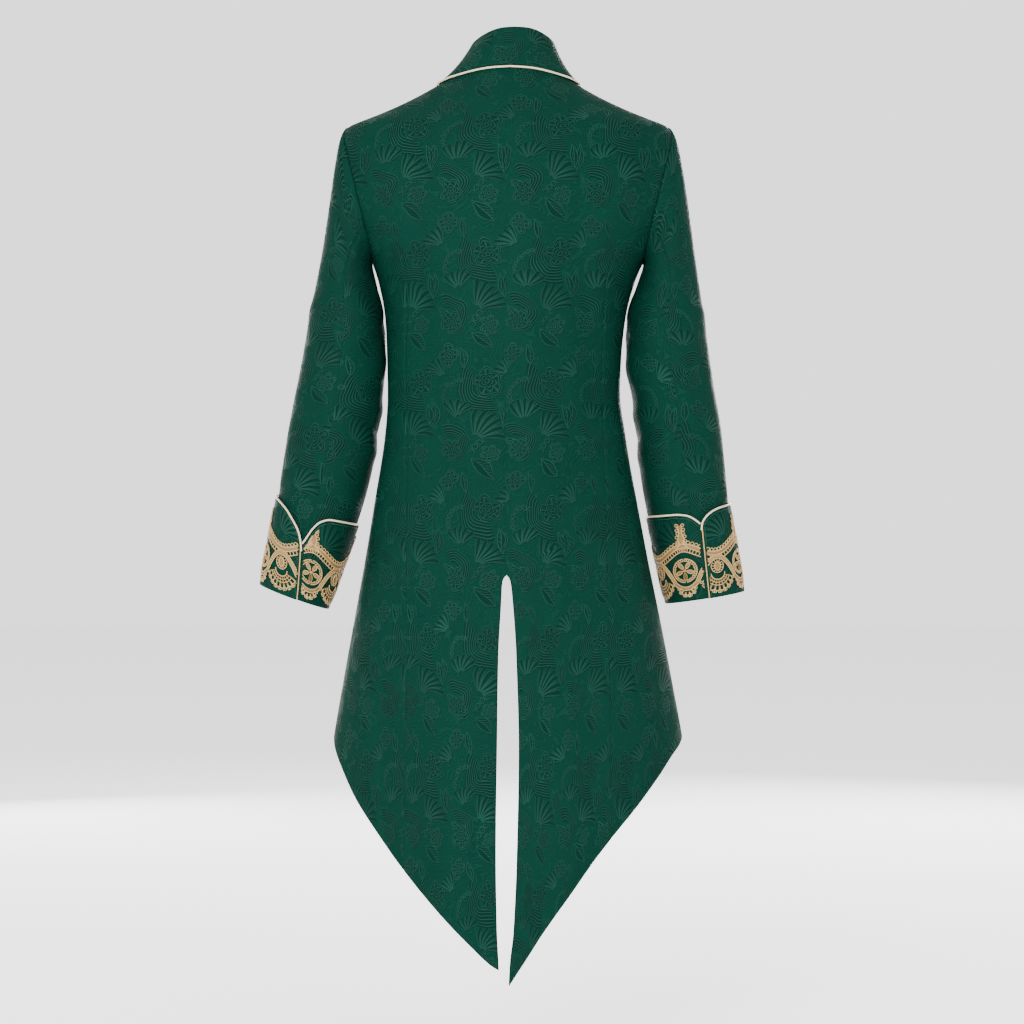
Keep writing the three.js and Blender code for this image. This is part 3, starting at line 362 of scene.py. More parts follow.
# Soft ridges and troughs of the worn cloth on the back: x and z of both ends,
# height and spread. Those on the front and in the sleeves are alike but of the maker's own choice.
BACK_FOLDS = [
    (62, -190, 70, -560, 2.2, 26), (22, -210, 26, -600, -1.2, 13), (-28, -150, -34, -520, 1.3, 22),
    (-92, -160, -112, -430, -2.4, 17), (118, -170, 104, -400, -1.8, 15), (150, -330, 158, -520, 1.2, 12),
    (-136, -300, -146, -560, 1.3, 14), (168, -120, 118, -205, 1.6, 13), (-165, -115, -118, -200, 1.7, 13),
    (40, -640, 52, -1040, 1.6, 20), (104, -560, 128, -940, -2.0, 22), (160, -620, 190, -860, 1.9, 20),
    (-44, -660, -38, -1080, 1.2, 17), (-92, -600, -112, -960, -1.9, 20), (-150, -560, -184, -840, 1.8, 22),
    (10, -425, 120, -398, 0.9, 9), (-14, -410, -118, -380, 0.8, 9), (30, -444, 132, -462, -0.7, 8),
    (-22, -448, -128, -470, -0.8, 8), (60, -70, 120, -98, 1.1, 16), (-58, -72, -122, -100, 1.0, 16),
]
FRONT_FOLDS = [
    (70, -150, 88, -330, 2.0, 18), (-66, -160, -84, -320, 1.9, 18), (40, -240, 64, -400, -1.4, 14),
    (-38, -230, -60, -410, -1.5, 14), (120, -170, 90, -240, -1.6, 13), (-122, -168, -92, -236, -1.5, 13),
    (20, -388, 110, -372, 1.1, 9), (-24, -396, -112, -378, 1.0, 9), (60, -440, 110, -600, 1.6, 18),
    (-58, -440, -106, -600, 1.7, 18), (120, -470, 168, -720, -1.6, 18), (-120, -470, -170, -720, -1.5, 18),
]
# In a sleeve: degrees round and rings along at both ends, height and spread.
SLEEVE_FOLDS = {
    "left": [
        (285, 0.2, 250, 1.6, 2.6, 11), (262, 1.0, 330, 1.9, -1.8, 10), (20, 0.4, 350, 2.6, 1.6, 14),
        (40, 2.2, 10, 4.8, -1.5, 15), (330, 3.0, 210, 3.4, 2.0, 9), (322, 3.5, 232, 3.9, -1.7, 8),
        (300, 4.1, 225, 4.3, 1.6, 9), (10, 4.0, 70, 5.4, 1.3, 13), (120, 1.0, 105, 3.8, 1.5, 17),
        (150, 3.6, 215, 3.1, -1.6, 10), (75, -0.5, 60, 1.0, 1.1, 16), (345, 5.0, 305, 5.6, 1.2, 9),
    ],
    "right": [
        (280, 0.3, 256, 1.5, 2.4, 11), (266, 1.1, 322, 2.1, -1.7, 10), (12, 0.5, 344, 2.8, 1.7, 14),
        (46, 2.0, 16, 4.6, -1.4, 15), (326, 3.1, 214, 3.6, 1.9, 9), (318, 3.7, 236, 4.1, -1.6, 8),
        (304, 4.3, 222, 4.6, 1.5, 9), (14, 4.2, 66, 5.5, 1.2, 13), (124, 0.9, 100, 3.6, 1.4, 17),
        (146, 3.4, 210, 3.0, -1.5, 10), (72, -0.5, 62, 1.1, 1.0, 16), (340, 5.1, 300, 5.7, 1.1, 9),
    ],
}


def fold_height(a, b, folds):
    """The sum of soft strokes at the points (a, b)."""
    total = np.zeros(np.shape(a))
    for a0, b0, a1, b1, height, spread in folds:
        run = np.array([a1 - a0, b1 - b0], float)
        t = ((a - a0) * run[0] + (b - b0) * run[1]) / (run @ run)
        over = np.abs(t - np.clip(t, 0.12, 0.88)) * np.hypot(*run)
        across = ((a - a0) * -run[1] + (b - b0) * run[0]) / np.hypot(*run)
        total += height * np.exp(-(across / spread) ** 2 - (over / (2.2 * spread)) ** 2)
    return total


def body_relief(p):
    """Folds of the body, fading where the back meets the front."""
    facing = smooth(p[..., 1], -25, 25)
    back = fold_height(p[..., 0], p[..., 2], BACK_FOLDS)
    front = fold_height(p[..., 0], p[..., 2], FRONT_FOLDS)
    return back * facing + front * (1 - facing)


def edge_drop(shares, length, kinds):
    """How far the cloth turns in beside its two edges. A kind is seam, hem or none."""
    depth = {"seam": 0.75, "hem": 0.45, "none": 0.0}
    first = depth[kinds[0]] * np.exp(-((shares * length) / 1.1) ** 2)
    last = depth[kinds[1]] * np.exp(-(((1 - shares) * length) / 1.1) ** 2)
    return first + last


def lengths_along(grid, axis):
    """Running lengths down the rows or across the columns of a grid."""
    steps = np.linalg.norm(np.diff(grid, axis=axis), axis=-1)
    zero = np.zeros_like(np.take(steps, [0], axis=axis))
    return np.concatenate([zero, np.cumsum(steps, axis=axis)], axis=axis)


def added(name, data):
    piece = bpy.data.objects.new(name, data)
    bpy.context.scene.collection.objects.link(piece)
    return piece


def mesh_object(name, points, faces, materials, uv, indexes, smooth_faces=True):
    mesh = bpy.data.meshes.new(name)
    mesh.from_pydata((points * MM).tolist(), [], faces.tolist())
    for material in materials:
        mesh.materials.append(material)
    if indexes is not None:
        mesh.polygons.foreach_set("material_index", indexes.astype(np.int32))
    corners = np.zeros(len(mesh.loops), np.int32)
    mesh.loops.foreach_get("vertex_index", corners)
    layer = mesh.uv_layers.new(name="cloth")
    layer.data.foreach_set("uv", (uv * MM)[corners].ravel())
    mesh.polygons.foreach_set("use_smooth", np.full(len(mesh.polygons), smooth_faces))
    mesh.validate()
    mesh.set_sharp_from_angle(angle=math.radians(52))
    return added(name, mesh)


def add_values(piece, name, values):
    layer = piece.data.attributes.new(name, "FLOAT", "POINT")
    layer.data.foreach_set("value", np.asarray(values, np.float32))


def shell(name, outer, inner, uv, materials, hem):
    """A thin closed wall between two grids. hem is 1 where an outer point lies on a bare edge, and at every
    inner point, and the brocade paints shade towards it.
    """
    rows, columns = outer.shape[:2]
    count = rows * columns
    ids = np.arange(count).reshape(rows, columns)
    quads = lambda a: np.stack([a[:-1, :-1], a[1:, :-1], a[1:, 1:], a[:-1, 1:]], -1).reshape(-1, 4)
    top = quads(ids)
    under = quads(ids + count)[:, ::-1]
    border = []
    for run in (ids[:, 0], ids[-1, :], ids[::-1, -1], ids[0, ::-1]):
        border.append(np.stack([run[:-1], run[:-1] + count, run[1:] + count, run[1:]], -1))
    faces = np.concatenate([top, under, *border])
    points = np.concatenate([outer.reshape(-1, 3), inner.reshape(-1, 3)])
    a, b, c = (points[faces[:, i]] for i in (0, 1, 2))
    d = points[faces[:, 3]]
    volume = np.sum(a * np.cross(b, c)) + np.sum(a * np.cross(c, d))
    if volume < 0:
        faces = faces[:, ::-1]
    indexes = np.zeros(len(faces), np.int32)
    indexes[len(top):len(top) + len(under)] = 1
    flat_uv = np.tile(uv.reshape(-1, 2), (2, 1))
    piece = mesh_object(f"{name}_cloth", points, faces, materials, flat_uv, indexes)
    add_values(piece, "hem", np.concatenate([hem.ravel(), np.ones(count)]))
    return piece


def cut_size(outer, upright):
    """The flat width and length of a cut and its area, in metres. An upright one is measured level."""
    level_rows = outer * np.array([1, 1, 0 if upright else 1])
    width = lengths_along(level_rows, 1)[:, -1].max()
    length = lengths_along(outer, 0)[-1].max()
    a, b = np.diff(outer, axis=0)[:, :-1], np.diff(outer, axis=1)[:-1]
    area = np.linalg.norm(np.cross(a, b), axis=-1).sum() * MM * MM
    return (round(width * MM, 3), round(length * MM, 3)), round(float(area), 4)


def dress(piece, outer, node, upright=False):
    flat, area = cut_size(outer, upright)
    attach(piece, "root")
    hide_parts(node)


# Materials of the jacket's cloth, trim, lace and buttons.
class Count:
    """A number on the surface, worked out by math nodes, in millimetres where it is a length."""

    def __init__(self, tree, socket):
        self.tree = tree
        self.socket = socket

    def by(self, operation, *others, held=False):
        node = self.tree.nodes.new("ShaderNodeMath")
        node.operation = operation
        node.use_clamp = held
        for slot, value in zip(node.inputs, (self, *others)):
            if isinstance(value, Count):
                self.tree.links.new(value.socket, slot)
            else:
                slot.default_value = float(value)
        return Count(self.tree, node.outputs[0])

    def __add__(self, other):
        return self.by("ADD", other)

    def __sub__(self, other):
        return self.by("SUBTRACT", other)

    def __mul__(self, other):
        return self.by("MULTIPLY", other)

    def scaled(self, factor, shift, held=False):
        return self.by("MULTIPLY_ADD", factor, shift, held=held)

    def line(self, width):
        """1 within half a width of zero, falling softly to 0."""
        return self.by("ABSOLUTE").scaled(-2 / width, 1.6, held=True)

    def below(self, softness=0.6):
        """1 where the number is below zero."""
        return self.scaled(-1 / softness, 0.5, held=True)

    def stripes(self, pitch, width):
        """Lines at an even pitch."""
        part = self.by("DIVIDE", pitch).by("FRACT")
        return part.scaled(pitch, -pitch / 2).line(width)


FINE = 0.95
WEAVE_WIDE = 95
WEAVE_LONG = 166
WEAVE_DRIFT = 11


def at_motif(across, down, x, y, turn):
    """Coordinates about the nearest copy of a motif, turned by some degrees."""
    u = across.by("WRAP", x + WEAVE_WIDE / 2, x - WEAVE_WIDE / 2)
    v = down.by("WRAP", y + WEAVE_LONG / 2, y - WEAVE_LONG / 2)
    c, s = math.cos(math.radians(turn)), math.sin(math.radians(turn))
    a = u.scaled(c, -(c * x + s * y)) + v * s
    b = u.scaled(-s, s * x - c * y) + v * c
    return a, b


def round_from(a, b):
    radius = a.by("MULTIPLY_ADD", a, b * b).by("SQRT")
    return radius, b.by("ARCTAN2", a)


def peony(a, b, size, petals):
    """Two rings of lobed petals with double outlines, and a berried heart."""
    radius, turn = round_from(a, b)
    lobes = turn.scaled(petals / 2, 0.3).by("COSINE").by("ABSOLUTE")
    outer = radius.by("DIVIDE", lobes.scaled(0.34, 0.68))
    slits = turn.scaled(petals / 2, 0.3).by("SINE").by("ABSOLUTE")
    inner = radius.by("DIVIDE", slits.scaled(0.36, 0.66))
    inside = (outer - size).below()
    heart = (inner - 0.52 * size).below()
    lines = (outer - size).line(FINE).by("MAXIMUM", (outer - 0.84 * size).line(FINE))
    lines = lines.by("MAXIMUM", (inner - 0.56 * size).line(FINE))
    centre = (inner - 0.36 * size).line(FINE).by("MAXIMUM", (radius - 0.14 * size).line(FINE))
    veins = turn.scaled(petals * 2, 1.0).by("COSINE").by("SUBTRACT", 0.62).below(0.3)
    veins = (veins.scaled(-1, 1) * (outer - 0.8 * size).below()) * heart.scaled(-1, 1)
    return lines.by("MAXIMUM", centre * heart).by("MAXIMUM", veins * 0.7), inside


def leaf(a, b, long, half, bend):
    """A bent leaf with a double outline and slanting veins on one side of its rib."""
    t = a.scaled(1 / long, 0, held=True)
    side = b + t.by("MULTIPLY_ADD", t.scaled(-1, 1), 0).by("MULTIPLY", 4 * bend)
    away = side.by("ABSOLUTE")
    rim = away - (t * math.pi).by("SINE").scaled(half, -0.8)
    inside = rim.below()
    veins = (a.scaled(0.55, 0) + away).stripes(3.1, 1.0) * (rim + 1.8).below()
    veins = veins * (side + 0.2).below()
    rib = side.line(0.9) * (rim + 1.2).below()
    return rim.line(FINE).by("MAXIMUM", veins * 0.8).by("MAXIMUM", rib), inside


def feathers(a, b, long, blades, spread, curl):
    """A fan of curved blades from one root, each with a rib and double edges."""
    radius, turn = round_from(a, b)
    swept = turn + radius * curl
    phase = swept.scaled(blades / spread, 0.5 * blades)
    part = phase.by("FRACT").scaled(1, -0.5)
    round_end = (part * math.pi).by("COSINE").scaled(0.22 * long, 0.78 * long)
    tip = radius - round_end
    wide = radius * (spread / blades)
    edges = (part.by("ABSOLUTE").scaled(-1, 0.5) * wide).line(FINE)
    inner = ((part.by("ABSOLUTE").scaled(-1, 0.3)) * wide).line(1.0)
    within = tip.below() * (swept.by("ABSOLUTE") - spread / 2).below(0.06)
    within = within * radius.scaled(-1, 5.0).below()
    lines = edges.by("MAXIMUM", tip.line(FINE)).by("MAXIMUM", inner * 0.8)
    return lines * within, within


def berries(a, b, radius_of_arc, pitch, spread):
    """A chain of ringed berries along an arc."""
    radius, turn = round_from(a, b)
    along = turn * (radius_of_arc / pitch)
    x = along.by("FRACT").scaled(pitch, -pitch / 2)
    y = radius - radius_of_arc
    r = x.by("MULTIPLY_ADD", x, y * y).by("SQRT")
    within = (turn.by("ABSOLUTE") - spread / 2).below(0.05)
    lines = (r - pitch * 0.38).line(FINE).by("MAXIMUM", (r - 0.8).below(0.8))
    return lines * within, (r - pitch * 0.45).below() * within


def shell_lines(a, b, inner, outer, pitch, spread):
    """Concentric scalloped lines, as on an open shell."""
    radius, turn = round_from(a, b)
    lobed = radius.by("DIVIDE", (turn * 4).by("COSINE").scaled(0.06, 1.0))
    within = (lobed - outer).below() * lobed.scaled(-1, inner).below()
    within = within * (turn.by("ABSOLUTE") - spread / 2).below(0.08)
    return lobed.stripes(pitch, FINE) * within, within


# One repeat of the weave. Each motif gives its place, its turn and its shape, back ones first.
WEAVE = [
    (shell_lines, 30, 62, 35, (13, 36, 3.5, 2.7)),
    (feathers, 64, 106, -70, (27, 5, 1.9, 0.014)),
    (feathers, 40, 131, -112, (39, 6, 1.75, 0.010)),
    (feathers, 86, 52, -60, (30, 5, 1.5, -0.012)),
    (leaf, 6, 118, -96, (37, 6.4, 3.2)),
    (leaf, 13, 84, 100, (30, 5.4, -3.0)),
    (leaf, 58, 156, -48, (34, 6.2, -3.0)),
    (leaf, 92, 128, 150, (30, 5.6, 2.6)),
    (leaf, 56, 40, -78, (28, 5.2, 2.4)),
    (shell_lines, 76, 136, 200, (9, 25, 3.3, 3.4)),
    (berries, 62, 76, -40, (20, 6.4, 2.3)),
    (leaf, 18, 16, -42, (38, 9.0, 0.6)),
    (berries, 4, 3, -42, (46, 7.6, 0.55)),
    (peony, 26, 58, 0, (19, 5)),
    (peony, 74, 146, 30, (15, 5)),
    (peony, 78, 22, 10, (13, 4)),
    (peony, 24, 150, 20, (12, 6)),
]


def new_group(name, kind, inputs, outputs):
    """A node group with its named sockets, and its first and last node."""
    tree = bpy.data.node_groups.new(name, kind)
    for way, sockets in (("INPUT", inputs), ("OUTPUT", outputs)):
        for socket, holds in sockets:
            tree.interface.new_socket(socket, in_out=way, socket_type=f"NodeSocket{holds}")
    return tree, tree.nodes.new("NodeGroupInput"), tree.nodes.new("NodeGroupOutput")


def jacquard_group():
    """The brocade's figure from the cloth's own coordinates: its lines and its raised areas."""
    tree, entry, leave = new_group(
        "jacquard figure", "ShaderNodeTree", [("Cloth", "Vector")], [("Lines", "Float"), ("Figure", "Float")]
    )
    drift = tree.nodes.new("ShaderNodeTexNoise")
    drift.inputs["Scale"].default_value = 32
    drift.inputs["Detail"].default_value = 0
    tree.links.new(entry.outputs["Cloth"], drift.inputs["Vector"])
    split = tree.nodes.new("ShaderNodeSeparateXYZ")
    shift = tree.nodes.new("ShaderNodeSeparateXYZ")
    tree.links.new(entry.outputs["Cloth"], split.inputs[0])
    tree.links.new(drift.outputs["Color"], shift.inputs[0])
    sway = [Count(tree, shift.outputs[i]).scaled(WEAVE_DRIFT, -WEAVE_DRIFT / 2) for i in (0, 1)]
    across, down = (Count(tree, split.outputs[i]) * 1000 + sway[i] for i in (0, 1))
    lines = across * 0
    figure = across * 0
    for motif, x, y, turn, shape in WEAVE:
        a, b = at_motif(across, down, x, y, turn)
        drawn, inside = motif(a, b, *shape)
        lines = drawn.by("MAXIMUM", lines * inside.scaled(-1, 1))
        figure = figure.by("MAXIMUM", inside)
    tree.links.new(lines.socket, leave.inputs["Lines"])
    tree.links.new(figure.socket, leave.inputs["Figure"])
    return tree


def new_material(name):
    material = bpy.data.materials.new(name)
    material.use_nodes = True
    tree = material.node_tree
    return material, tree, tree.nodes["Principled BSDF"]


def blend_colour(tree, share, first, second):
    node = tree.nodes.new("ShaderNodeMix")
    node.data_type = "RGBA"
    for slot, value in ((6, first), (7, second)):
        if isinstance(value, bpy.types.NodeSocket):
            tree.links.new(value, node.inputs[slot])
        else:
            node.inputs[slot].default_value = (*value, 1)
    if isinstance(share, Count):
        tree.links.new(share.socket, node.inputs[0])
    else:
        node.inputs[0].default_value = share
    return node.outputs[2]


def noise_of(tree, vector, scale, detail=2.0):
    node = tree.nodes.new("ShaderNodeTexNoise")
    node.inputs["Scale"].default_value = scale
    node.inputs["Detail"].default_value = detail
    tree.links.new(vector, node.inputs["Vector"])
    return Count(tree, node.outputs["Fac"])


def grain_of(tree, scale, detail):
    """Noise that is fixed to the piece itself."""
    coordinates = tree.nodes.new("ShaderNodeTexCoord")
    return noise_of(tree, coordinates.outputs["Object"], scale, detail)


def surface_of(tree, uv_name):
    """The coordinates on a piece's own surface, and their two parts."""
    uv = tree.nodes.new("ShaderNodeUVMap")
    uv.uv_map = uv_name
    split = tree.nodes.new("ShaderNodeSeparateXYZ")
    tree.links.new(uv.outputs[0], split.inputs[0])
    return uv.outputs[0], Count(tree, split.outputs[0]), Count(tree, split.outputs[1])


def bump_of(tree, height, distance, strength):
    node = tree.nodes.new("ShaderNodeBump")
    node.inputs["Strength"].default_value = strength
    node.inputs["Distance"].default_value = distance
    tree.links.new(height.socket, node.inputs["Height"])
    return node.outputs["Normal"]


GROUND = (0.0004, 0.0195, 0.0122)
FIGURE = (0.0003, 0.0140, 0.0090)
THREAD_AND_HIGHLIGHT = (0.0018, 0.0480, 0.0310)
DEEP_AND_SHADE = (0.0002, 0.0100, 0.0068)
SHADOW = (0.0001, 0.0026, 0.0019)
EDGE_SHADE = (0.0001, 0.0020, 0.0016)
ROUGH_CLOTH = 0.62
SHADE_SHIFT = (0.75, -0.95)
RIB_PITCH, ROW_PITCH = 1.9, 1.55
WARP_TURNS, WEFT_TURNS, TWILL_TURNS = 9000, 7400, 5200


def moved(tree, vector, shift_mm):
    """The cloth's coordinates moved by about a millimetre."""
    node = tree.nodes.new("ShaderNodeVectorMath")
    node.operation = "ADD"
    node.inputs[1].default_value = (shift_mm[0] * MM, shift_mm[1] * MM, 0)
    tree.links.new(vector, node.inputs[0])
    return node.outputs[0]


def figure_of(tree, figure_tree, vector):
    node = tree.nodes.new("ShaderNodeGroup")
    node.node_tree = figure_tree
    tree.links.new(vector, node.inputs[0])
    return Count(tree, node.outputs["Lines"]), Count(tree, node.outputs["Figure"])


def echo_of(tree, vector, raised):
    """Close wavy lines that fill the ground round the figures."""
    waves = (noise_of(tree, vector, 27, 1) * 135).by("SINE")
    return waves.scaled(0.9, -0.25, held=True) * raised.scaled(-1, 1)


def brocade_material(figure_tree):
    """Tone on tone: pale woven lines over echoing ground lines. The lines' lighter colour is partly the
    figure's own thread and partly painted highlight of the raised weave, and each has a painted shadow beside
    it.
    """
    material, tree, bsdf = new_material("green brocade")
    cloth, across, down = surface_of(tree, "cloth")
    lines, raised = figure_of(tree, figure_tree, cloth)
    # The figure again, moved about a millimetre, gives the painted shadow that lies beside each pale line.
    shifted = moved(tree, cloth, SHADE_SHIFT)
    beside_lines, _ = figure_of(tree, figure_tree, shifted)
    light = lines.by("MAXIMUM", echo_of(tree, cloth, raised) * 0.4)
    shade = beside_lines.by("MAXIMUM", echo_of(tree, shifted, raised) * 0.4).by("SUBTRACT", light, held=True)
    # Painted shade: broad soft streaks running down the cloth darken the ground as the drape's folds would,
    # mixed with random cloudy tone.
    cloudy = noise_of(tree, cloth, 8, 3)
    shade_streaks = tree.nodes.new("ShaderNodeVectorMath")
    shade_streaks.operation = "MULTIPLY"
    shade_streaks.inputs[1].default_value = (14, 1.6, 1)
    tree.links.new(cloth, shade_streaks.inputs[0])
    bands = noise_of(tree, shade_streaks.outputs[0], 1, 2)
    ground = blend_colour(tree, raised, GROUND, FIGURE)
    cloud_and_painted_shade = (cloudy * 0.5 + bands * 0.5).scaled(2.4, -0.85, held=True)
    toned = blend_colour(tree, cloud_and_painted_shade * 0.5, ground, DEEP_AND_SHADE)
    # The pale lines, partly the thread's own colour and partly painted highlight, and beside them the painted
    # shadow.
    lit = blend_colour(tree, light * (cloudy.scaled(0.9, -0.08, held=True)), toned, THREAD_AND_HIGHLIGHT)
    woven = blend_colour(tree, shade * 0.75, lit, SHADOW)
    # Painted shade: the cloth turns near black along its hems, vent edges and cut edges, where the turned
    # edge would shade it.
    hem = tree.nodes.new("ShaderNodeAttribute")
    hem.attribute_name = "hem"
    edge = Count(tree, hem.outputs["Fac"]).by("POWER", 1.6)
    tree.links.new(blend_colour(tree, edge * 0.92, woven, EDGE_SHADE), bsdf.inputs["Base Color"])
    threads = (across * WARP_TURNS).by("SINE") * (down * WEFT_TURNS).by("SINE")
    tree.links.new(bump_of(tree, threads, 0.00015, 0.4), bsdf.inputs["Normal"])
    tree.links.new(light.scaled(-0.16, ROUGH_CLOTH).socket, bsdf.inputs["Roughness"])
    tree.links.new(light.scaled(0.05, 0.02).socket, bsdf.inputs["Specular IOR Level"])
    return material


def lining_material():
    material, tree, bsdf = new_material("dark green lining")
    cloth, across, down = surface_of(tree, "cloth")
    twill = ((across + down) * TWILL_TURNS).by("SINE")
    tree.links.new(bump_of(tree, twill, 0.0001, 0.3), bsdf.inputs["Normal"])
    cloudy = noise_of(tree, cloth, 14)
    colour = blend_colour(tree, cloudy, (0.0008, 0.0065, 0.0050), (0.0014, 0.0100, 0.0078))
    tree.links.new(colour, bsdf.inputs["Base Color"])
    bsdf.inputs["Roughness"].default_value = 0.5
    bsdf.inputs["Specular IOR Level"].default_value = 0.12
    return material


def cord_material(name, pale, deep, pitch, rough, sheen):
    """A twisted cord: diagonal threads from its own length and turn, held in its second UV map."""
    material, tree, bsdf = new_material(name)
    _, along, turn = surface_of(tree, "cord")
    twist = ((along * (1000 / pitch) + turn) * (2 * math.pi)).by("SINE")
    threads = twist.scaled(0.5, 0.5)
    patchy = grain_of(tree, 60, 2)
    colour = blend_colour(tree, threads, deep, pale)
    worn = blend_colour(tree, patchy.scaled(1.5, -0.45, held=True) * 0.5, colour, deep)
    tree.links.new(worn, bsdf.inputs["Base Color"])
    tree.links.new(bump_of(tree, threads, 0.0002, 0.5), bsdf.inputs["Normal"])
    bsdf.inputs["Roughness"].default_value = rough
    bsdf.inputs["Sheen Weight"].default_value = sheen
    return material


def lace_material():
    """Flat woven tape: lengthwise cords crossed by close ribs, from its length and width."""
    material, tree, bsdf = new_material("woven gold lace")
    tape, along, across = surface_of(tree, "cloth")
    ribs = (along * (2000 * math.pi / RIB_PITCH)).by("SINE").scaled(0.5, 0.5)
    rows = (across * (2000 * math.pi / ROW_PITCH)).by("COSINE").scaled(0.5, 0.5)
    woven = ribs.scaled(0.45, 0) + rows * 0.55
    patchy = noise_of(tree, tape, 160, 3)
    colour = blend_colour(tree, woven, (0.030, 0.016, 0.004), (0.29, 0.178, 0.060))
    toned = blend_colour(tree, patchy.scaled(1.8, -0.6, held=True) * 0.45, colour, (0.095, 0.055, 0.018))
    tree.links.new(toned, bsdf.inputs["Base Color"])
    tree.links.new(bump_of(tree, woven, 0.0005, 0.7), bsdf.inputs["Normal"])
    bsdf.inputs["Roughness"].default_value = 0.6
    bsdf.inputs["Specular IOR Level"].default_value = 0.2
    return material


def button_material():
    material, tree, bsdf = new_material("antique gold metal")
    worn = grain_of(tree, 420, 4)
    colour = blend_colour(tree, worn.scaled(2.2, -0.6, held=True), (0.55, 0.38, 0.15), (0.30, 0.19, 0.07))
    tree.links.new(colour, bsdf.inputs["Base Color"])
    tree.links.new(worn.scaled(0.3, 0.2).socket, bsdf.inputs["Roughness"])
    tree.links.new(bump_of(tree, worn, 0.0003, 0.25), bsdf.inputs["Normal"])
    bsdf.inputs["Metallic"].default_value = 1.0
    return material


brocade = brocade_material(jacquard_group())
lining = lining_material()
satin = cord_material("ivory satin piping", (0.62, 0.55, 0.42), (0.30, 0.23, 0.13), 1.9, 0.3, 0.05)
lace_cord = cord_material("gold lace cord", (0.52, 0.345, 0.125), (0.17, 0.092, 0.026), 1.7, 0.5, 0.02)
woven_lace = lace_material()
button_metal = button_material()
CLOTH_FACES = [brocade, lining]


def yoke_grid(shares_of_row, from_turn, to_turn):
    """Points of the shoulder above the trunk. Both edges are functions of the share down it."""
    downs = np.linspace(0, 1, 36)
    downs = np.concatenate([[0, 0.008, 0.02], downs[1:]])
    share, down = np.meshgrid(shares_of_row, downs)
    turn = mix(from_turn(down), to_turn(down), share)
    length = np.linalg.norm(yoke(turn, down * 0 + 1) - yoke(turn, down * 0), axis=-1)
    height = -yoke_foot(turn) - length * (1 - down)
    return yoke(turn, down), turn, height


def panel(name, side, shares, width, parts, lift_at, kinds, from_front=False):
    """Joins grids of the shoulder and trunk into one shell with seams, hem and folds."""
    grid = np.concatenate([part[0] for part in parts])
    turn = np.concatenate([part[1] for part in parts])
    height = np.concatenate([part[2] for part in parts])
    if len(parts) > 1:
        join = len(parts[0][0])
        grid = eased(grid, (join - EASE_ROWS, join + EASE_ROWS))
    outward = place(np.sin(turn), np.cos(turn), 0.15)
    normals = grid_normals(grid, outward)
    lift = lift_at(turn)
    lift = lift - edge_drop(shares, width, kinds)[None, :]
    ends = lengths_along(grid, 0)
    to_hem = ends[-1][None, :] - ends
    lift = lift - 0.45 * np.exp(-(to_hem / 1.1) ** 2)
    lift = lift - 0.7 * np.exp(-(ends / 1.1) ** 2)
    resting = posed(grid, side)
    quiet = smooth(ends, 2, 40)
    lift = lift + body_relief(resting) * quiet
    outer = posed(grid + normals * lift[..., None], side)
    inner = posed(grid + normals * (lift - CLOTH)[..., None], side)
    if from_front:
        run = lengths_along(grid * [1, 1, 0], 1)
        across = SIDES[side] * (run[:, -1:] - run)
    else:
        across = np.abs(resting[:, :1, 0]) * SIDES[side] + SIDES[side] * lengths_along(grid, 1)
    uv = np.stack([across, height], -1)
    # Where the brocade paints edge shade: along the hem, and along the vent's bare edges below its top.
    hem = np.exp(-(to_hem / 1.0) ** 2)
    for column, kind in ((0, kinds[0]), (-1, kinds[1])):
        if kind == "hem":
            bare = np.abs(shares - (0 if column == 0 else 1)) * width
            low = smooth(-resting[..., 2], -VENT_TOP_Z - 8, -VENT_TOP_Z + 8)
            hem = np.maximum(hem, np.exp(-(bare / 1.0) ** 2)[None, :] * low)
    piece = shell(name, outer, inner, uv, CLOTH_FACES, hem)
    dress(piece, outer, name, upright=True)


def trunk_part(shares, steps, top, foot, edge_from, edge_to):
    turn, z = rows_between(shares, steps, top, foot, edge_from, edge_to)
    return trunk(turn, z), turn, -z


def flush(turn):
    return np.zeros(np.shape(turn))


def skirt_steps():
    """Rows from the waist's lower edge to the hem, closest at the top of the vent and the hem."""
    depth = SKIRT_TOP_Z - HEM[0][2]
    even = np.linspace(0, 1, int(depth / CELL) + 1)[1:]
    vent = (SKIRT_TOP_Z - VENT_TOP_Z + np.array(VENT_STEPS)) / depth
    near = 1 - np.array(EDGE_STEPS) / SKIRT_LONG
    return np.unique(np.concatenate([even[even < 0.9975], vent, near, [1]]))


def back_panel(side):
    shares = shares_over(215)
    half_vent = lambda z: np.where(z < VENT_TOP_Z, vent_at(z, side), 0)
    centre = lambda z: np.maximum(SEAM_GAP / 2, half_vent(z)) / body(z, "wide")
    seam = lambda z: side_back_seam(z) - side_back_gap(z)
    shoulder_from = lambda down: np.full(np.shape(down), SEAM_GAP / 2 / NECK_HALF_WIDTH)
    shoulder_to = lambda down: np.full(np.shape(down), math.pi / 2 - SEAM_GAP / 2 / NECK_BACK)
    tip, foot = level(SHOULDER_TIP_Z), level(SIDE_BACK_SEAM_TOP_Z)
    skirt = level(SKIRT_TOP_Z)
    depth = steps_between(SHOULDER_TIP_Z, SIDE_BACK_SEAM_TOP_Z)
    parts = [
        yoke_grid(shares, shoulder_from, shoulder_to),
        trunk_part(shares, depth**1.35, tip, foot, centre, armhole_back),
        trunk_part(shares, steps_between(SIDE_BACK_SEAM_TOP_Z, SKIRT_TOP_Z), foot, skirt, centre, seam),
        trunk_part(shares, skirt_steps(), skirt, hem_of(side), centre, seam),
    ]
    panel(f"back_{side}", side, shares, 150, parts, flush, ("hem", "seam"))


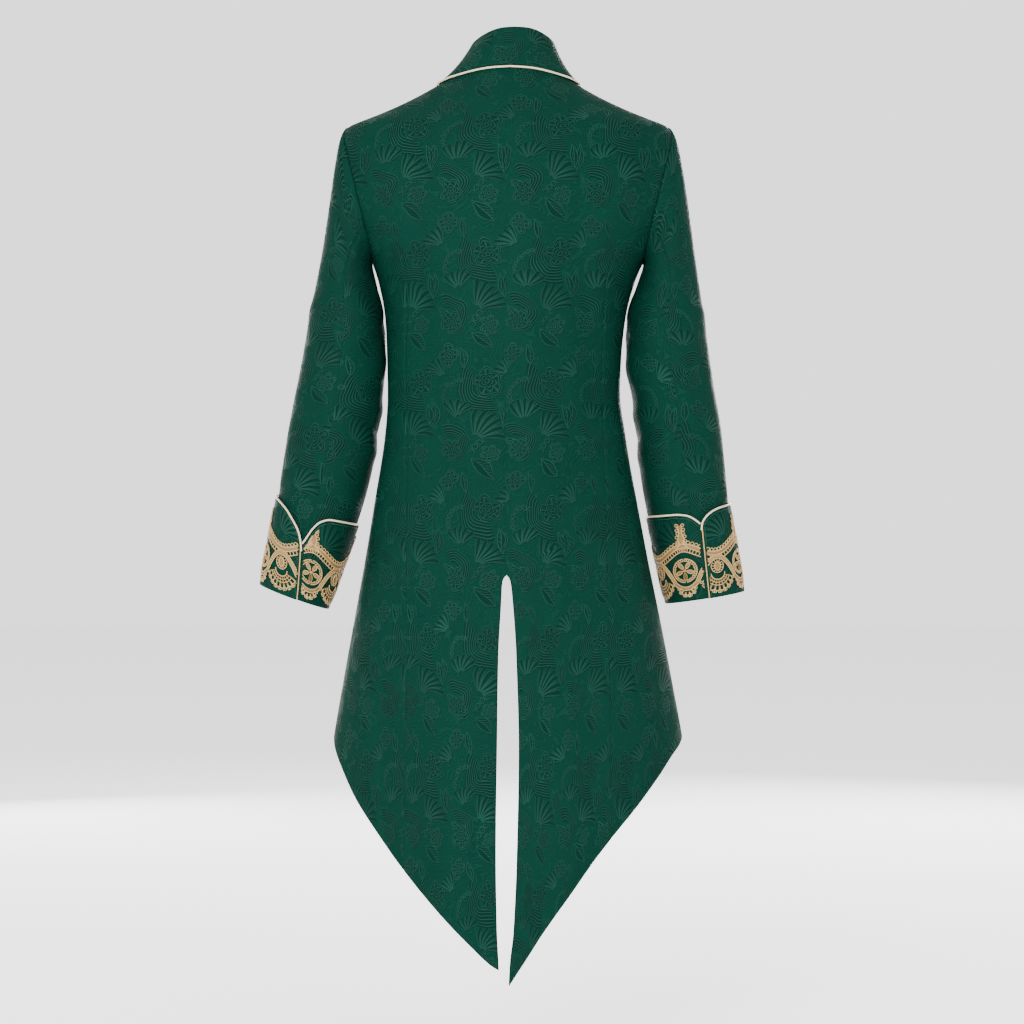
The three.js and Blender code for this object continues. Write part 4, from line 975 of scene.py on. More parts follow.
def side_back_panel(side):
    shares = shares_over(75)
    edge_from = lambda z: side_back_seam(z) + side_back_gap(z)
    edge_to = lambda z: SIDE_SEAM - half_gap(z)
    middle = (SHOULDER_TIP_Z + ARMHOLE_FOOT_Z) / 2
    low = np.full(len(shares), float(ARMHOLE_FOOT_Z - CLOTH))
    high = np.full(len(shares), float(middle - 20))
    for _ in range(40):
        z = (low + high) / 2
        turn = mix(edge_from(z), edge_to(z), shares)
        reach = np.radians(np.where(turn < np.pi / 2, ARMHOLE_BACK_TURN, ARMHOLE_FRONT_TURN))
        half = (SHOULDER_TIP_Z - ARMHOLE_FOOT_Z) / 2
        in_hole = ((turn - np.pi / 2) / reach) ** 2 + ((z - middle) / half) ** 2 < 1
        high = np.where(in_hole, z, high)
        low = np.where(in_hole, low, z)
    top = (low + high) / 2
    top[0] = SIDE_BACK_SEAM_TOP_Z
    steps = np.concatenate([[0], steps_between(-205, WAIST_BAND_TOP_Z)])
    z = mix(top[None, :], float(WAIST_BAND_TOP_Z), steps[:, None])
    turn = mix(edge_from(z), edge_to(z), shares[None, :])
    waist, skirt = level(WAIST_BAND_TOP_Z), level(SKIRT_TOP_Z)
    parts = [
        (trunk(turn, z), turn, -z),
        trunk_part(shares, steps_between(WAIST_BAND_TOP_Z, SKIRT_TOP_Z), waist, skirt, edge_from, edge_to),
        trunk_part(shares, skirt_steps(), skirt, hem_of(side), edge_from, edge_to),
    ]
    whole = [tuple(np.concatenate([part[i] for part in parts]) for i in range(3))]
    panel(f"side_back_{side}", side, shares, 75, whole, flush, ("seam", "seam"))


def lap_lift(turn):
    return FRONT_LAP_LIFT * smooth(np.degrees(turn), 140, 168)


def front_panel(side):
    shares = shares_over(225)
    past = FRONT_LAP if side == "left" else -SEAM_GAP
    lift_at = lap_lift if side == "left" else flush
    centre = lambda z: np.pi + past / body(z, "wide")
    edge = lambda z: SIDE_SEAM + half_gap(z)
    shoulder_from = lambda down: np.full(np.shape(down), math.pi / 2 + SEAM_GAP / 2 / NECK_FRONT)
    shoulder_to = lambda down: np.pi + past / mix(NECK_HALF_WIDTH, YOKE_END_WIDE, down)
    foot, skirt = level(ARMHOLE_END_Z), level(SKIRT_TOP_Z)
    depth = steps_between(SHOULDER_TIP_Z, ARMHOLE_END_Z)
    eased_ends = (1 - np.cos(np.pi * depth)) / 2
    parts = [
        yoke_grid(shares, shoulder_from, shoulder_to),
        trunk_part(shares, eased_ends, yoke_foot, foot, armhole_front, centre),
        trunk_part(shares, steps_between(ARMHOLE_END_Z, SKIRT_TOP_Z), foot, skirt, edge, centre),
        trunk_part(shares, skirt_steps(), skirt, hem_of(side), edge, centre),
    ]
    kinds = ("seam", "seam")
    panel(f"front_{side}", side, shares, 220, parts, lift_at, kinds, from_front=True)


# The sleeves, with their turned-back cuffs.
def armhole_point(turn):
    low = math.radians(ARMHOLE_LOW)
    upper = mix(-low, np.pi + low, turn / np.pi)
    under = mix(np.pi + low, 2 * np.pi - low, turn / np.pi - 1)
    round_turn = np.where(turn <= np.pi, upper, under)
    reach = np.radians(np.where(np.cos(round_turn) > 0, ARMHOLE_BACK_TURN, ARMHOLE_FRONT_TURN))
    middle = (SHOULDER_TIP_Z + ARMHOLE_FOOT_Z) / 2
    half = (SHOULDER_TIP_Z - ARMHOLE_FOOT_Z) / 2
    p = trunk(np.pi / 2 - reach * np.cos(round_turn), middle + half * np.sin(round_turn))
    p[..., 0] += SLEEVE_START_GAP
    return p


def ring_point(side, turn, at):
    ring = {name: ring_at[side](at, name) for name in RING}
    across = (1 + np.sin(turn)) / 2
    x = mix(ring["in_x"], ring["out_x"], across)
    z = mix(ring["in_z"], ring["out_z"], across)
    return place(x, -ring["fore"] + ring["deep"] * np.cos(turn), z)


def sleeve(side, turn, along):
    """The sleeve's outer surface: below 0 its head, from -1 at the armhole, then ring by ring."""
    turn, along = np.broadcast_arrays(np.asarray(turn, float), np.asarray(along, float))
    rings = ring_point(side, turn, np.clip(along, 0, WRIST_RING))
    last = along * 0 + WRIST_RING + 1
    wrist = mix(
        ring_point(side, turn, last - 1), ring_point(side, turn, last), (along - WRIST_RING)[..., None]
    )
    start = armhole_point(turn)
    end = ring_point(side, turn, along * 0)
    below = ring_point(side, turn, along * 0 + 0.3)
    high = (start[..., 2] - ARMHOLE_FOOT_Z) / (SHOULDER_TIP_Z - ARMHOLE_FOOT_Z)
    reach = mix(CAP_OUT_ARMPIT, CAP_OUT, high)
    leaving = start + place(1, CAP_SPREAD * np.cos(turn), CAP_DROP) * reach[..., None]
    hang = CAP_HANG * (start[..., 2] - end[..., 2])
    arriving = end + unit(end - below) * hang[..., None]
    t = np.clip(along + 1, 0, 1)[..., None]
    head = (1 - t) ** 3 * start + 3 * t * (1 - t) ** 2 * leaving + 3 * t * t * (1 - t) * arriving + t**3 * end
    upper = np.where(along[..., None] < 0, head, rings)
    return np.where(along[..., None] > WRIST_RING, wrist, upper)


def sleeve_normal(side, turn, along):
    at = np.clip(along, -0.99, WRIST_RING + 0.99)
    n = normal_of(lambda a, b: sleeve(side, a, b), turn, at, 0.02, 0.01)
    middle = (ring_point(side, turn + np.pi, np.maximum(0, at)) + sleeve(side, turn, at)) / 2
    outward = sleeve(side, turn, at) - middle
    facing = np.sum(n * outward, axis=-1, keepdims=True)
    return np.where(facing < 0, -n, n)


def to_side(points, side):
    return points * np.array([SIDES[side], 1, 1])


def sleeve_relief(side, turn, along):
    degrees = np.degrees(turn) % 360
    total = np.zeros(np.shape(turn))
    for shift in (-360, 0, 360):
        scaled = [(a0, b0 * RING_MM, a1, b1 * RING_MM, h, s) for a0, b0, a1, b1, h, s in SLEEVE_FOLDS[side]]
        total += fold_height(degrees + shift, along * RING_MM, scaled)
    return total * smooth(along, -0.9, -0.2) * (1 - smooth(along, 5.6, 6.1))


def sleeve_panel(side, part):
    start, end = (0, math.pi) if part == "upper" else (math.pi, 2 * math.pi)
    gap = SEAM_GAP / 2 / WRIST_RADIUS
    shares = shares_over(SLEEVE_WIDE)
    head = -1 + np.concatenate([[0, 0.008, 0.022], np.linspace(0.04, 1, 42)])
    rings = np.arange(1, 6 * 13 + 1) / 13
    wrist = WRIST_RING + np.concatenate([np.arange(1, 31) / 30.5, [0.992, 1]])
    turn, along = np.meshgrid(mix(start + gap, end - gap, shares), np.concatenate([head, rings, wrist]))
    grid = sleeve(side, turn, along)
    normals = sleeve_normal(side, turn, along)
    ends = lengths_along(grid, 0)
    lift = sleeve_relief(side, turn, along) - edge_drop(shares, SLEEVE_WIDE, ("seam", "seam"))[None, :]
    lift = lift - 0.8 * np.exp(-(ends / 1.2) ** 2)
    outer = to_side(grid + normals * lift[..., None], side)
    inner = to_side(grid + normals * (lift - CLOTH)[..., None], side)
    middle_rows = ends.mean(axis=1, keepdims=True) + np.zeros_like(ends)
    across = (turn - math.pi / 2) * WRIST_RADIUS + (0 if side == "left" else 40)
    uv = np.stack([across, middle_rows + 31], -1)
    # The painted edge shade falls along the sleeve's hem.
    hem = np.exp(-((ends[-1] - ends) / 1.0) ** 2)
    name = f"sleeve_{part}_{side}"
    piece = shell(name, outer, inner, uv, CLOTH_FACES, hem)
    dress(piece, outer, name)


def cuff_turn(side, degrees, high):
    cuff = CUFFS[side]
    return np.radians(degrees + mix(cuff["hem_turn"], cuff["notch_turn"], high / cuff["edge"][0][1]))


def cuff_lift(side, degrees):
    rise = CUFF_LAP_LIFT * (1 - smooth(degrees, 0, CUFF_LAP_EASE))
    return CUFFS[side]["clearance"] + np.where(degrees < 180, rise, 0)


def cuff_point(side, degrees, high, lift):
    """A point of the cuff, by degrees round from its overlap and height above the hem."""
    turn = cuff_turn(side, degrees, high)
    hem = sleeve(side, turn, turn * 0 + WRIST_RING + 1)
    length = np.linalg.norm(sleeve(side, turn, turn * 0 + WRIST_RING) - hem, axis=-1)
    along = WRIST_RING + 1 - high / length
    n = sleeve_normal(side, turn, along)
    return to_side(sleeve(side, turn, along) + n * np.asarray(lift)[..., None], side)


def cuff(side):
    width = CUFF_LAP_TURN * ROUND_MM
    shares = shares_over(width, 2.2)
    steps = np.concatenate([[0, 0.012, 0.03], np.linspace(0.06, 0.96, 28), [0.98, 0.992, 1]])
    share, step = np.meshgrid(shares, steps)
    degrees = share * CUFF_LAP_TURN
    high = mix(-CUFF_HEM_OVERHANG, cuff_edge[side](degrees, "high"), step)
    base = cuff_lift(side, degrees)
    ends = high + CUFF_HEM_OVERHANG
    drop = 0.4 * np.exp(-(ends / 1.1) ** 2) + 0.35 * np.exp(-((1 - step) * 100 / 1.2) ** 2)
    drop = drop + edge_drop(shares, width, ("hem", "none"))[None, :]
    swell = 0.5 * np.sin(np.radians(degrees * 5 + 40)) * np.sin(np.pi * step) * smooth(degrees, 20, 60)
    swell = swell * (1 - smooth(degrees, 300, 340))
    outer = cuff_point(side, degrees, high, base + CLOTH - drop + swell)
    inner = cuff_point(side, degrees, high, base)
    uv = np.stack([degrees * ROUND_MM + 12, -high + 40], -1)
    # The painted edge shade falls along the cuff's lower edge.
    hem = np.exp(-(ends / 1.0) ** 2)
    name = f"cuff_{side}"
    piece = shell(name, outer, inner, uv, CLOTH_FACES, hem)
    dress(piece, outer, name)


# The collar: a stand, a rolled fold and a fall that ends on the shoulder.
def collar_line(turn, steps):
    size = np.abs(turn)
    degrees = np.degrees(size)
    side = np.where(turn < 0, -1, 1)
    out = place(np.sin(turn), np.cos(turn), 0)
    seam = neck_seam(size)
    seam[..., 0] = np.abs(seam[..., 0]) * side
    root = seam - out * COLLAR_THICK / 2
    root[..., 2] += COLLAR_THICK / 2 + SEAM_GAP
    fold_top = seam - out * collar_at(degrees, "fold_in")[..., None]
    fold_top[..., 2] = collar_at(degrees, "fold")
    stand_top = fold_top - out * FOLD_RADIUS
    fall_top = fold_top + out * FOLD_RADIUS
    reach = collar_at(degrees, "reach")
    rest = COLLAR_REST + COLLAR_THICK / 2 + lap_lift(turn)
    edge = yoke_point(size, reach, rest)
    bend = yoke_point(size, FALL_BEND * reach, FALL_BEND_LIFT + rest)
    for p in (edge, bend):
        p[..., 0] = np.abs(p[..., 0]) * side
    lines = []
    for t in steps:
        if t < 1:
            lines.append(mix(root, stand_top, 0.97 * t))
        elif t < 2:
            a = np.pi * (t - 1)
            rolled = fold_top - out * FOLD_RADIUS * np.cos(a)
            rolled[..., 2] += FOLD_RISE * np.sin(a)
            lines.append(rolled)
        else:
            s = t - 2
            lines.append((1 - s) ** 2 * fall_top + 2 * s * (1 - s) * bend + s * s * edge)
    return np.stack(lines)


def collar_piece():
    shares = shares_over(COLLAR_ROUND, 3.0)
    turns = np.radians(mix(-COLLAR_END, COLLAR_END, shares))
    steps = np.concatenate([
        np.linspace(0, 0.98, 9), [1, 1.2, 1.4, 1.6, 1.8], np.linspace(2.04, 2.94, 10), [2.975, 3.0],
    ])
    grid = collar_line(turns, steps)
    n = unit(np.cross(np.gradient(grid, axis=0), np.gradient(grid, axis=1)))
    out = place(np.sin(turns), np.cos(turns), 0)
    if np.sum(n[-4] * out) < 0:
        n = -n
    wave = 0.5 * np.sin(turns * 3 + 0.6)[None, :] * smooth(steps, 2.0, 2.5)[:, None]
    wave = wave * (1 - smooth(steps, 2.7, 3.0))[:, None]
    drop = 0.45 * smooth(steps, 2.97, 3.0)[:, None] + edge_drop(shares, COLLAR_ROUND, ("hem", "hem"))[None, :]
    outer = posed(grid + n * (COLLAR_THICK / 2 + wave - drop)[..., None], "left")
    inner = posed(grid + n * (-COLLAR_THICK / 2 + wave)[..., None], "left")
    ends = lengths_along(grid, 0)
    uv = np.stack([lengths_along(grid[-6:-5], 1)[0][None, :] + 0 * ends, ends + 70], -1)
    piece = shell("collar", outer, inner, uv, [brocade, brocade], np.zeros(ends.shape))
    dress(piece, outer, "collar")


def path_object(name, paths, radii):
    """Runs of points as bare edges, with a radius at each point, for a cord to follow."""
    points, edges, sizes = [], [], []
    for path, radius in zip(paths, radii):
        first = len(points)
        points.extend((np.asarray(path) * MM).tolist())
        edges.extend((first + i, first + i + 1) for i in range(len(path) - 1))
        sizes.extend(np.broadcast_to(np.asarray(radius, float) * MM, len(path)).tolist())
    mesh = bpy.data.meshes.new(name)
    mesh.from_pydata(points, edges, [])
    layer = mesh.attributes.new("cord_radius", "FLOAT", "POINT")
    layer.data.foreach_set("value", np.array(sizes, np.float32))
    return added(name, mesh)


def cord_tree():
    """Geometry nodes that lay a round cord along the edges of a guide."""
    sockets = [("Guide", "Geometry"), ("Sides", "Int"), ("Finish", "Material")]
    tree, entry, leave = new_group("lay a cord", "GeometryNodeTree", sockets, [("Cord", "Geometry")])
    node = tree.nodes.new
    curve = node("GeometryNodeMeshToCurve")
    radius = node("GeometryNodeInputNamedAttribute")
    radius.data_type = "FLOAT"
    radius.inputs["Name"].default_value = "cord_radius"
    parameter = node("GeometryNodeSplineParameter")
    keep_length = node("GeometryNodeCaptureAttribute")
    keep_length.capture_items.new("FLOAT", "Length")
    keep_turn = node("GeometryNodeCaptureAttribute")
    keep_turn.capture_items.new("FLOAT", "Turn")
    round_parameter = node("GeometryNodeSplineParameter")
    profile = node("GeometryNodeCurvePrimitiveCircle")
    profile.inputs["Radius"].default_value = 1.0
    tube = node("GeometryNodeCurveToMesh")
    tube.inputs["Fill Caps"].default_value = True
    pair = node("ShaderNodeCombineXYZ")
    store = node("GeometryNodeStoreNamedAttribute")
    store.data_type = "FLOAT2"
    store.domain = "CORNER"
    store.inputs["Name"].default_value = "cord"
    shade = node("GeometryNodeSetShadeSmooth")
    realize = node("GeometryNodeRealizeInstances")
    finish = node("GeometryNodeSetMaterial")
    link = tree.links.new
    link(entry.outputs["Guide"], curve.inputs["Mesh"])
    link(curve.outputs[0], keep_length.inputs[0])
    link(parameter.outputs["Length"], keep_length.inputs[1])
    link(entry.outputs["Sides"], profile.inputs["Resolution"])
    link(profile.outputs[0], keep_turn.inputs[0])
    link(round_parameter.outputs["Factor"], keep_turn.inputs[1])
    link(keep_length.outputs[0], tube.inputs["Curve"])
    link(keep_turn.outputs[0], tube.inputs["Profile Curve"])
    link(radius.outputs["Attribute"], tube.inputs["Scale"])
    link(keep_length.outputs[1], pair.inputs[0])
    link(keep_turn.outputs[1], pair.inputs[1])
    link(tube.outputs[0], store.inputs["Geometry"])
    link(pair.outputs[0], store.inputs["Value"])
    link(store.outputs[0], shade.inputs[0])
    link(shade.outputs[0], realize.inputs[0])
    link(realize.outputs[0], finish.inputs["Geometry"])
    link(entry.outputs["Finish"], finish.inputs["Material"])
    link(finish.outputs[0], leave.inputs["Cord"])
    return tree


laying = cord_tree()


def socket_name(tree, name):
    return next(item.identifier for item in tree.interface.items_tree if item.name == name)


def settled(guide, name, tree, inputs):
    """Runs a tree on a guide, keeps its result as a plain mesh and drops the guide."""
    modifier = guide.modifiers.new("make", "NODES")
    modifier.node_group = tree
    for key, value in inputs.items():
        modifier[socket_name(tree, key)] = value
    evaluated = guide.evaluated_get(bpy.context.evaluated_depsgraph_get())
    mesh = bpy.data.meshes.new_from_object(evaluated)
    mesh.name = name
    guide.modifiers.remove(modifier)
    old = guide.data
    guide.data = mesh
    guide.name = name
    bpy.data.meshes.remove(old)
    return guide


def cord(name, paths, radii, sides, material):
    guide = path_object(name, paths, radii)
    return settled(guide, f"{name}_cord", laying, {"Sides": sides, "Finish": material})


def trim(piece, node):
    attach(piece, "root")
    if node:
        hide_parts(node)


PIPING_SEAT = PIPING_RADIUS + 1
PIPING_END_TURN = 356
OVERLAP_CORD = 0.8


def softened(path):
    for _ in range(2):
        path[1:-1] = path[1:-1] / 2 + (path[:-2] + path[2:]) / 4
    return path


def cuff_piping(side):
    """Satin round the upper edge, and a thinner gold cord down the overlap's edge."""
    edge_high = float(cuff_edge[side](0.0, "high"))
    lap_turn = -math.degrees(PIPING_SEAT / 50)
    turns = np.arange(0.0, PIPING_END_TURN, 1.6)
    slope = (cuff_edge[side](turns + 1, "high") - cuff_edge[side](turns - 1, "high")) / 2 / ROUND_MM
    seat = PIPING_SEAT / np.hypot(1, slope)
    degrees = np.concatenate([[lap_turn * 0.9, lap_turn * 0.6], turns - seat * slope / ROUND_MM])
    high = np.concatenate([[edge_high - 6, edge_high - 1], cuff_edge[side](turns, "high") + seat])
    lift = cuff_lift(side, np.maximum(0, degrees)) + CLOTH / 2 + 0.3
    path = softened(cuff_point(side, degrees, high, lift))
    piece = cord(f"cuff_piping_{side}", [path], [PIPING_RADIUS], 12, satin)
    trim(piece, f"cuff_piping_{side}")
    rise = np.linspace(0, edge_high - 3, 40)
    down = np.full(40, lap_turn * 0.5)
    edge = cuff_point(side, down, rise, cuff_lift(side, down * 0) + CLOTH / 2)
    trim(cord(f"cuff_overlap_{side}", [edge], [OVERLAP_CORD], 10, lace_cord), None)


def collar_piping():
    degrees = np.linspace(-COLLAR_END, COLLAR_END, 300)
    size = np.radians(np.abs(degrees))
    reach = collar_at(np.abs(degrees), "reach")
    length = np.linalg.norm(yoke(size, size * 0) - yoke(size, size * 0 + 1), axis=-1)
    down = reach + (PIPING_SEAT + COLLAR_REST / 2) / length
    path = yoke_point(size, down, PIPING_SEAT + 0.3 + lap_lift(np.radians(degrees)))
    path[..., 0] = np.abs(path[..., 0]) * np.where(degrees < 0, -1, 1)
    path = posed(path, "left")
    piece = cord("collar_piping", [path], [PIPING_RADIUS], 12, satin)
    trim(piece, "collar_piping")


def domed_button(number):
    """A domed button with a turned rim, over its flat solid."""
    name = f"button_{number}"
    low, high = (np.array(corner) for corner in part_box(name))
    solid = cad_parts[name]
    vertices = np.array([v.co for v in solid.data.vertices])
    middle = (low + high) / 2
    spread = np.linalg.svd(vertices - vertices.mean(axis=0))[2][2]
    axis = spread if spread[1] < 0 else -spread
    first = unit(np.cross(axis, (0, 0, 1.0)))
    second = np.cross(first, axis)
    thick = np.ptp((vertices - middle) @ axis)
    from_axis = (vertices - middle) - ((vertices - middle) @ axis)[:, None] * axis
    radius = np.max(np.linalg.norm(from_axis, axis=1))
    profile = [
        (0.0, 0.0), (0.86, 0.0), (0.97, 0.22), (1.0, 0.42), (0.96, 0.62), (0.88, 0.66), (0.83, 0.52),
        (0.78, 0.56), (0.62, 0.78), (0.40, 0.92), (0.18, 0.99), (0.0, 1.0),
    ]
    turns = 40
    points = []
    for share, height in profile[1:-1]:
        for k in range(turns):
            a = 2 * math.pi * k / turns
            spoke = (first * math.cos(a) + second * math.sin(a)) * share * radius
            points.append(middle + spoke + axis * (height - 0.5) * thick)
    points.append(middle - axis * 0.5 * thick)
    points.append(middle + axis * 0.5 * thick)
    faces = []
    for ring in range(len(profile) - 3):
        for k in range(turns):
            n = (k + 1) % turns
            base = ring * turns
            faces.append((base + k, base + n, base + turns + n, base + turns + k))
    last = (len(profile) - 3) * turns
    for k in range(turns):
        n = (k + 1) % turns
        faces.append((n, k, len(points) - 2))
        faces.append((last + k, last + n, len(points) - 1))
    mesh = bpy.data.meshes.new(name + "_dome")
    mesh.from_pydata([tuple(p) for p in points], [], faces)
    mesh.materials.append(button_metal)
    mesh.polygons.foreach_set("use_smooth", np.full(len(mesh.polygons), True))
    trim(added(name + "_dome", mesh), name)


# The lace, drawn flat for one repeat in millimetres: x round from a fan's middle, y above the hem.
HALF_REPEAT = REPEAT_TURN * ROUND_MM / 2
BAND_MIDDLE = 69
SWAG = 8
FAN_Y = 31
FAN_NEAR = 9.5
FAN_SCALLOP = 20.5
FAN_SPREAD = 72
FAN_BARS = 9
ARCH_FOOT = (27.5, 24)
ARCH_TOP = 53.5
ARCH_HALF = 2.4
MEDALLION = (0, 41, 4.0, 5.6)
FLOWER_Y = 41
PETALS = 5
FINIAL_FOOT = 70
FINIAL_TOP = 104
LOWER_ROOT_Y = 18
TAPE_DEEP = 5
LADDER_DEEP = 5.4
PICOT_PITCH = 5.4
PICOT_RADIUS = 2.2
CORD = 0.72
FINE_CORD = 0.56
LACE_STEP = 1.3


def band_top(x):
    return BAND_MIDDLE - SWAG * np.cos(np.pi * np.abs(x) / HALF_REPEAT)


def arch_y(x):
    t = np.clip(np.abs(x) / ARCH_FOOT[0], 0, 1)
    return mix(ARCH_FOOT[1], ARCH_TOP, np.cos(t * np.pi / 2) ** 0.9)


def lower_band_y(x):
    """The band under a flower, from one arch's foot to the next. x runs from the flower."""
    half = HALF_REPEAT - ARCH_FOOT[0]
    return mix(16.5, ARCH_FOOT[1], np.clip(np.abs(x) / half, 0, 1) ** 2)


def spoke_at(degrees):
    """A direction in the flat lace, in degrees clockwise from straight up."""
    return np.array([math.sin(math.radians(degrees)), math.cos(math.radians(degrees))])


def arc(cx, cy, rx, ry, start, end):
    """Points of an oval arc, in degrees clockwise from straight up."""
    count = max(5, int(abs(math.radians(end - start)) * (rx + ry) / 2 / LACE_STEP))
    a = np.radians(np.linspace(start, end, count + 1))
    return np.stack([cx + rx * np.sin(a), cy + ry * np.cos(a)], -1)


def straight(x0, y0, x1, y1):
    count = max(1, int(math.hypot(x1 - x0, y1 - y0) / (2 * LACE_STEP)))
    t = np.linspace(0, 1, count + 1)[:, None]
    return np.array([[x0, y0]]) * (1 - t) + np.array([[x1, y1]]) * t


def run_of(curve, start, end):
    x = np.linspace(start, end, max(3, int(abs(end - start) / LACE_STEP)))
    return np.stack([x, curve(x)], -1)


def beside(path, offset):
    """A path moved sideways by an offset, to its left as it runs."""
    along = unit(np.gradient(path, axis=0))
    return path + offset * np.stack([-along[:, 1], along[:, 0]], -1)


def picots(path, pitch, radius, side):
    """Small loops at an even pitch beside a path."""
    steps = np.concatenate([[0], np.cumsum(np.linalg.norm(np.diff(path, axis=0), axis=1))])
    at = np.arange(pitch / 2, steps[-1], pitch)
    x = np.interp(at, steps, path[:, 0])
    y = np.interp(at, steps, path[:, 1])
    along = unit(np.gradient(path, axis=0))
    u = np.interp(at, steps, along[:, 0])
    v = np.interp(at, steps, along[:, 1])
    loops = []
    a = np.radians(np.linspace(20, 340, 8) - 180)
    for cx, cy, ux, uy in zip(x, y, u, v):
        out = np.array([-uy, ux]) * side
        run = np.array([ux, uy])
        centre = np.array([cx, cy]) + out * radius
        loops.append(centre + radius * (np.cos(a)[:, None] * out + np.sin(a)[:, None] * run))
    return loops


def lace_cords():
    """Every cord of one repeat, with its radius and how far it stands off the cuff."""
    cords = []

    def lay(path, radius=FINE_CORD, high=0.0):
        cords.append((np.asarray(path), radius, high))

    top_band_cords(lay)
    arch_cords(lay)
    fan_cords(lay)
    for side, flower_x in ((1, -HALF_REPEAT), (-1, HALF_REPEAT)):
        flower_cords(lay, flower_x, side)
        lower_band_cords(lay, flower_x, side)
        finial_cords(lay, flower_x, side)
    return cords


def top_band_cords(lay):
    """A looped edge over the tape, and a ladder of short bars below it down to the arches."""
    top = run_of(band_top, -HALF_REPEAT, HALF_REPEAT)
    for offset in (0, -TAPE_DEEP):
        lay(beside(top, offset), CORD, 0.2)
    for loop in picots(top, PICOT_PITCH, PICOT_RADIUS, 1):
        lay(loop)
    first, last = beside(top, -TAPE_DEEP), beside(top, -TAPE_DEEP - LADDER_DEEP)
    for index in range(1, len(top) - 1, 3):
        foot = max(last[index][1], arch_y(last[index][0]) + 3)
        if first[index][1] - foot > 1.6:
            lay(straight(first[index][0], first[index][1], last[index][0], foot))
    open_row = np.where(last[:, 1] > arch_y(last[:, 0]) + 3)[0]
    for part in np.split(open_row, np.where(np.diff(open_row) > 1)[0] + 1):
        if len(part) > 2:
            lay(last[part], CORD, 0.1)


def arch_cords(lay):
    """The corded edges of the arch over a fan, and the spokes round the medallion inside it."""
    arch = run_of(arch_y, -ARCH_FOOT[0], ARCH_FOOT[0])
    for offset in (-ARCH_HALF, ARCH_HALF):
        lay(beside(arch, offset), CORD, 0.25)
    lay(beside(arch, 0), FINE_CORD, 0.3)
    cx, cy, rx, ry = MEDALLION
    lay(arc(cx, cy, rx, ry, 0, 360), CORD, 0.3)
    for k in range(13):
        x, y = spoke_at(360 / 13 * k)
        x1, y1 = cx + (rx + 4.4) * x, cy + (ry + 3.2) * y
        lay(straight(cx + (rx + 0.6) * x, cy + (ry + 0.6) * y, x1, min(y1, arch_y(x1) - 2)), FINE_CORD, 0.1)
    lay(arc(cx, cy, rx + 4.6, ry + 3.4, 62, 298), FINE_CORD, 0.15)


def fan_cords(lay):
    """The edges of an open fan: its hub, the scallops between its bars and the picots."""
    root = np.array([0, FAN_Y])
    lay(arc(0, FAN_Y, FAN_NEAR, FAN_NEAR - 1.5, 84, 276), CORD, 0.2)
    for reach in (13.2, 17.0):
        lay(arc(0, FAN_Y, reach, reach - 1.2, 180 - FAN_SPREAD, 180 + FAN_SPREAD), FINE_CORD, 0.1)
    step = 2 * FAN_SPREAD / (FAN_BARS - 1)
    for k in range(FAN_BARS - 1):
        a = 180 - FAN_SPREAD + step * (k + 0.5)
        spoke = spoke_at(a)
        centre = root + spoke * FAN_SCALLOP
        lay(arc(0, 0, 3.0, 3.0, a - 112, a + 112) + centre, CORD, 0.15)
        for loop in picots(arc(0, 0, 3.4, 3.4, a - 70, a + 70) + centre, 4.0, 1.5, 1):
            lay(loop)


def flower_cords(lay, flower_x, side):
    """Half of a five-petalled flower in a round frame, on the side towards the fan."""
    for k in range(PETALS):
        a = 360 / PETALS * (k + 0.5)
        spoke = spoke_at(a)
        if spoke[0] * side < -0.05:
            continue
        across = np.array([spoke[1], -spoke[0]])
        t = np.radians(np.linspace(0, 360, 15))
        width = 2.4 * (1 - 0.3 * np.cos(t)) * np.sin(t)
        reach = 7.4 - 4.6 * np.cos(t)
        lay([flower_x, FLOWER_Y] + reach[:, None] * spoke + width[:, None] * across, FINE_CORD, 0.3)
    lay(arc(flower_x, FLOWER_Y, 1.3, 1.3, 0, 180 * side), CORD, 0.5)
    lay(arc(flower_x, FLOWER_Y, 16.6, 15.8, 4 * side, 176 * side), CORD, 0.1)
    lay(arc(flower_x, FLOWER_Y, 13.7, 13.0, 4 * side, 176 * side), FINE_CORD, 0.1)
    for k in range(15):
        x, y = spoke_at(side * (4 + 12.2 * k))
        near = 12.2 if k % 2 == 0 else 13.7
        lay(straight(flower_x + near * x, FLOWER_Y + near * y, flower_x + 16.4 * x, FLOWER_Y + 15.6 * y))


def lower_band_cords(lay, flower_x, side):
    """The band under a flower, and half of the small fan that hangs from it."""
    end = flower_x + side * (HALF_REPEAT - ARCH_FOOT[0])
    lower = run_of(lambda x: lower_band_y(x - flower_x), flower_x, end)
    for offset in (-2.2, 2.2):
        lay(beside(lower, offset), CORD, 0.25)
    for k in range(3):
        a = 180 - side * (2 + 34 * k)
        spoke = spoke_at(a)
        centre = np.array([flower_x, LOWER_ROOT_Y]) + spoke * [8.6, 7.6]
        lay(arc(0, 0, 2.9, 2.9, a - 120, a + 120) + centre, CORD, 0.1)
        for loop in picots(arc(0, 0, 3.3, 3.3, a - 64, a + 64) + centre, 4.0, 1.4, 1):
            lay(loop)


def finial_half_width(stem):
    rise = (stem - FINIAL_FOOT) / (FINIAL_TOP - FINIAL_FOOT)
    knots = 2.6 * np.exp(-((rise - 0.4) / 0.16) ** 2) + 1.4 * np.exp(-((rise - 0.85) / 0.1) ** 2)
    return 1.5 + knots + 7 * np.exp(-(rise / 0.13) ** 2)


def finial_cords(lay, flower_x, side):
    """Half of the corded stem that stands over a flower, with loops along it."""
    stem = np.linspace(FINIAL_FOOT, FINIAL_TOP - 1, 26)
    outline = np.stack([flower_x + side * finial_half_width(stem), stem], -1)
    lay(outline, CORD, 0.2)
    for loop in picots(outline, PICOT_PITCH, PICOT_RADIUS * 0.9, -side):
        lay(loop)


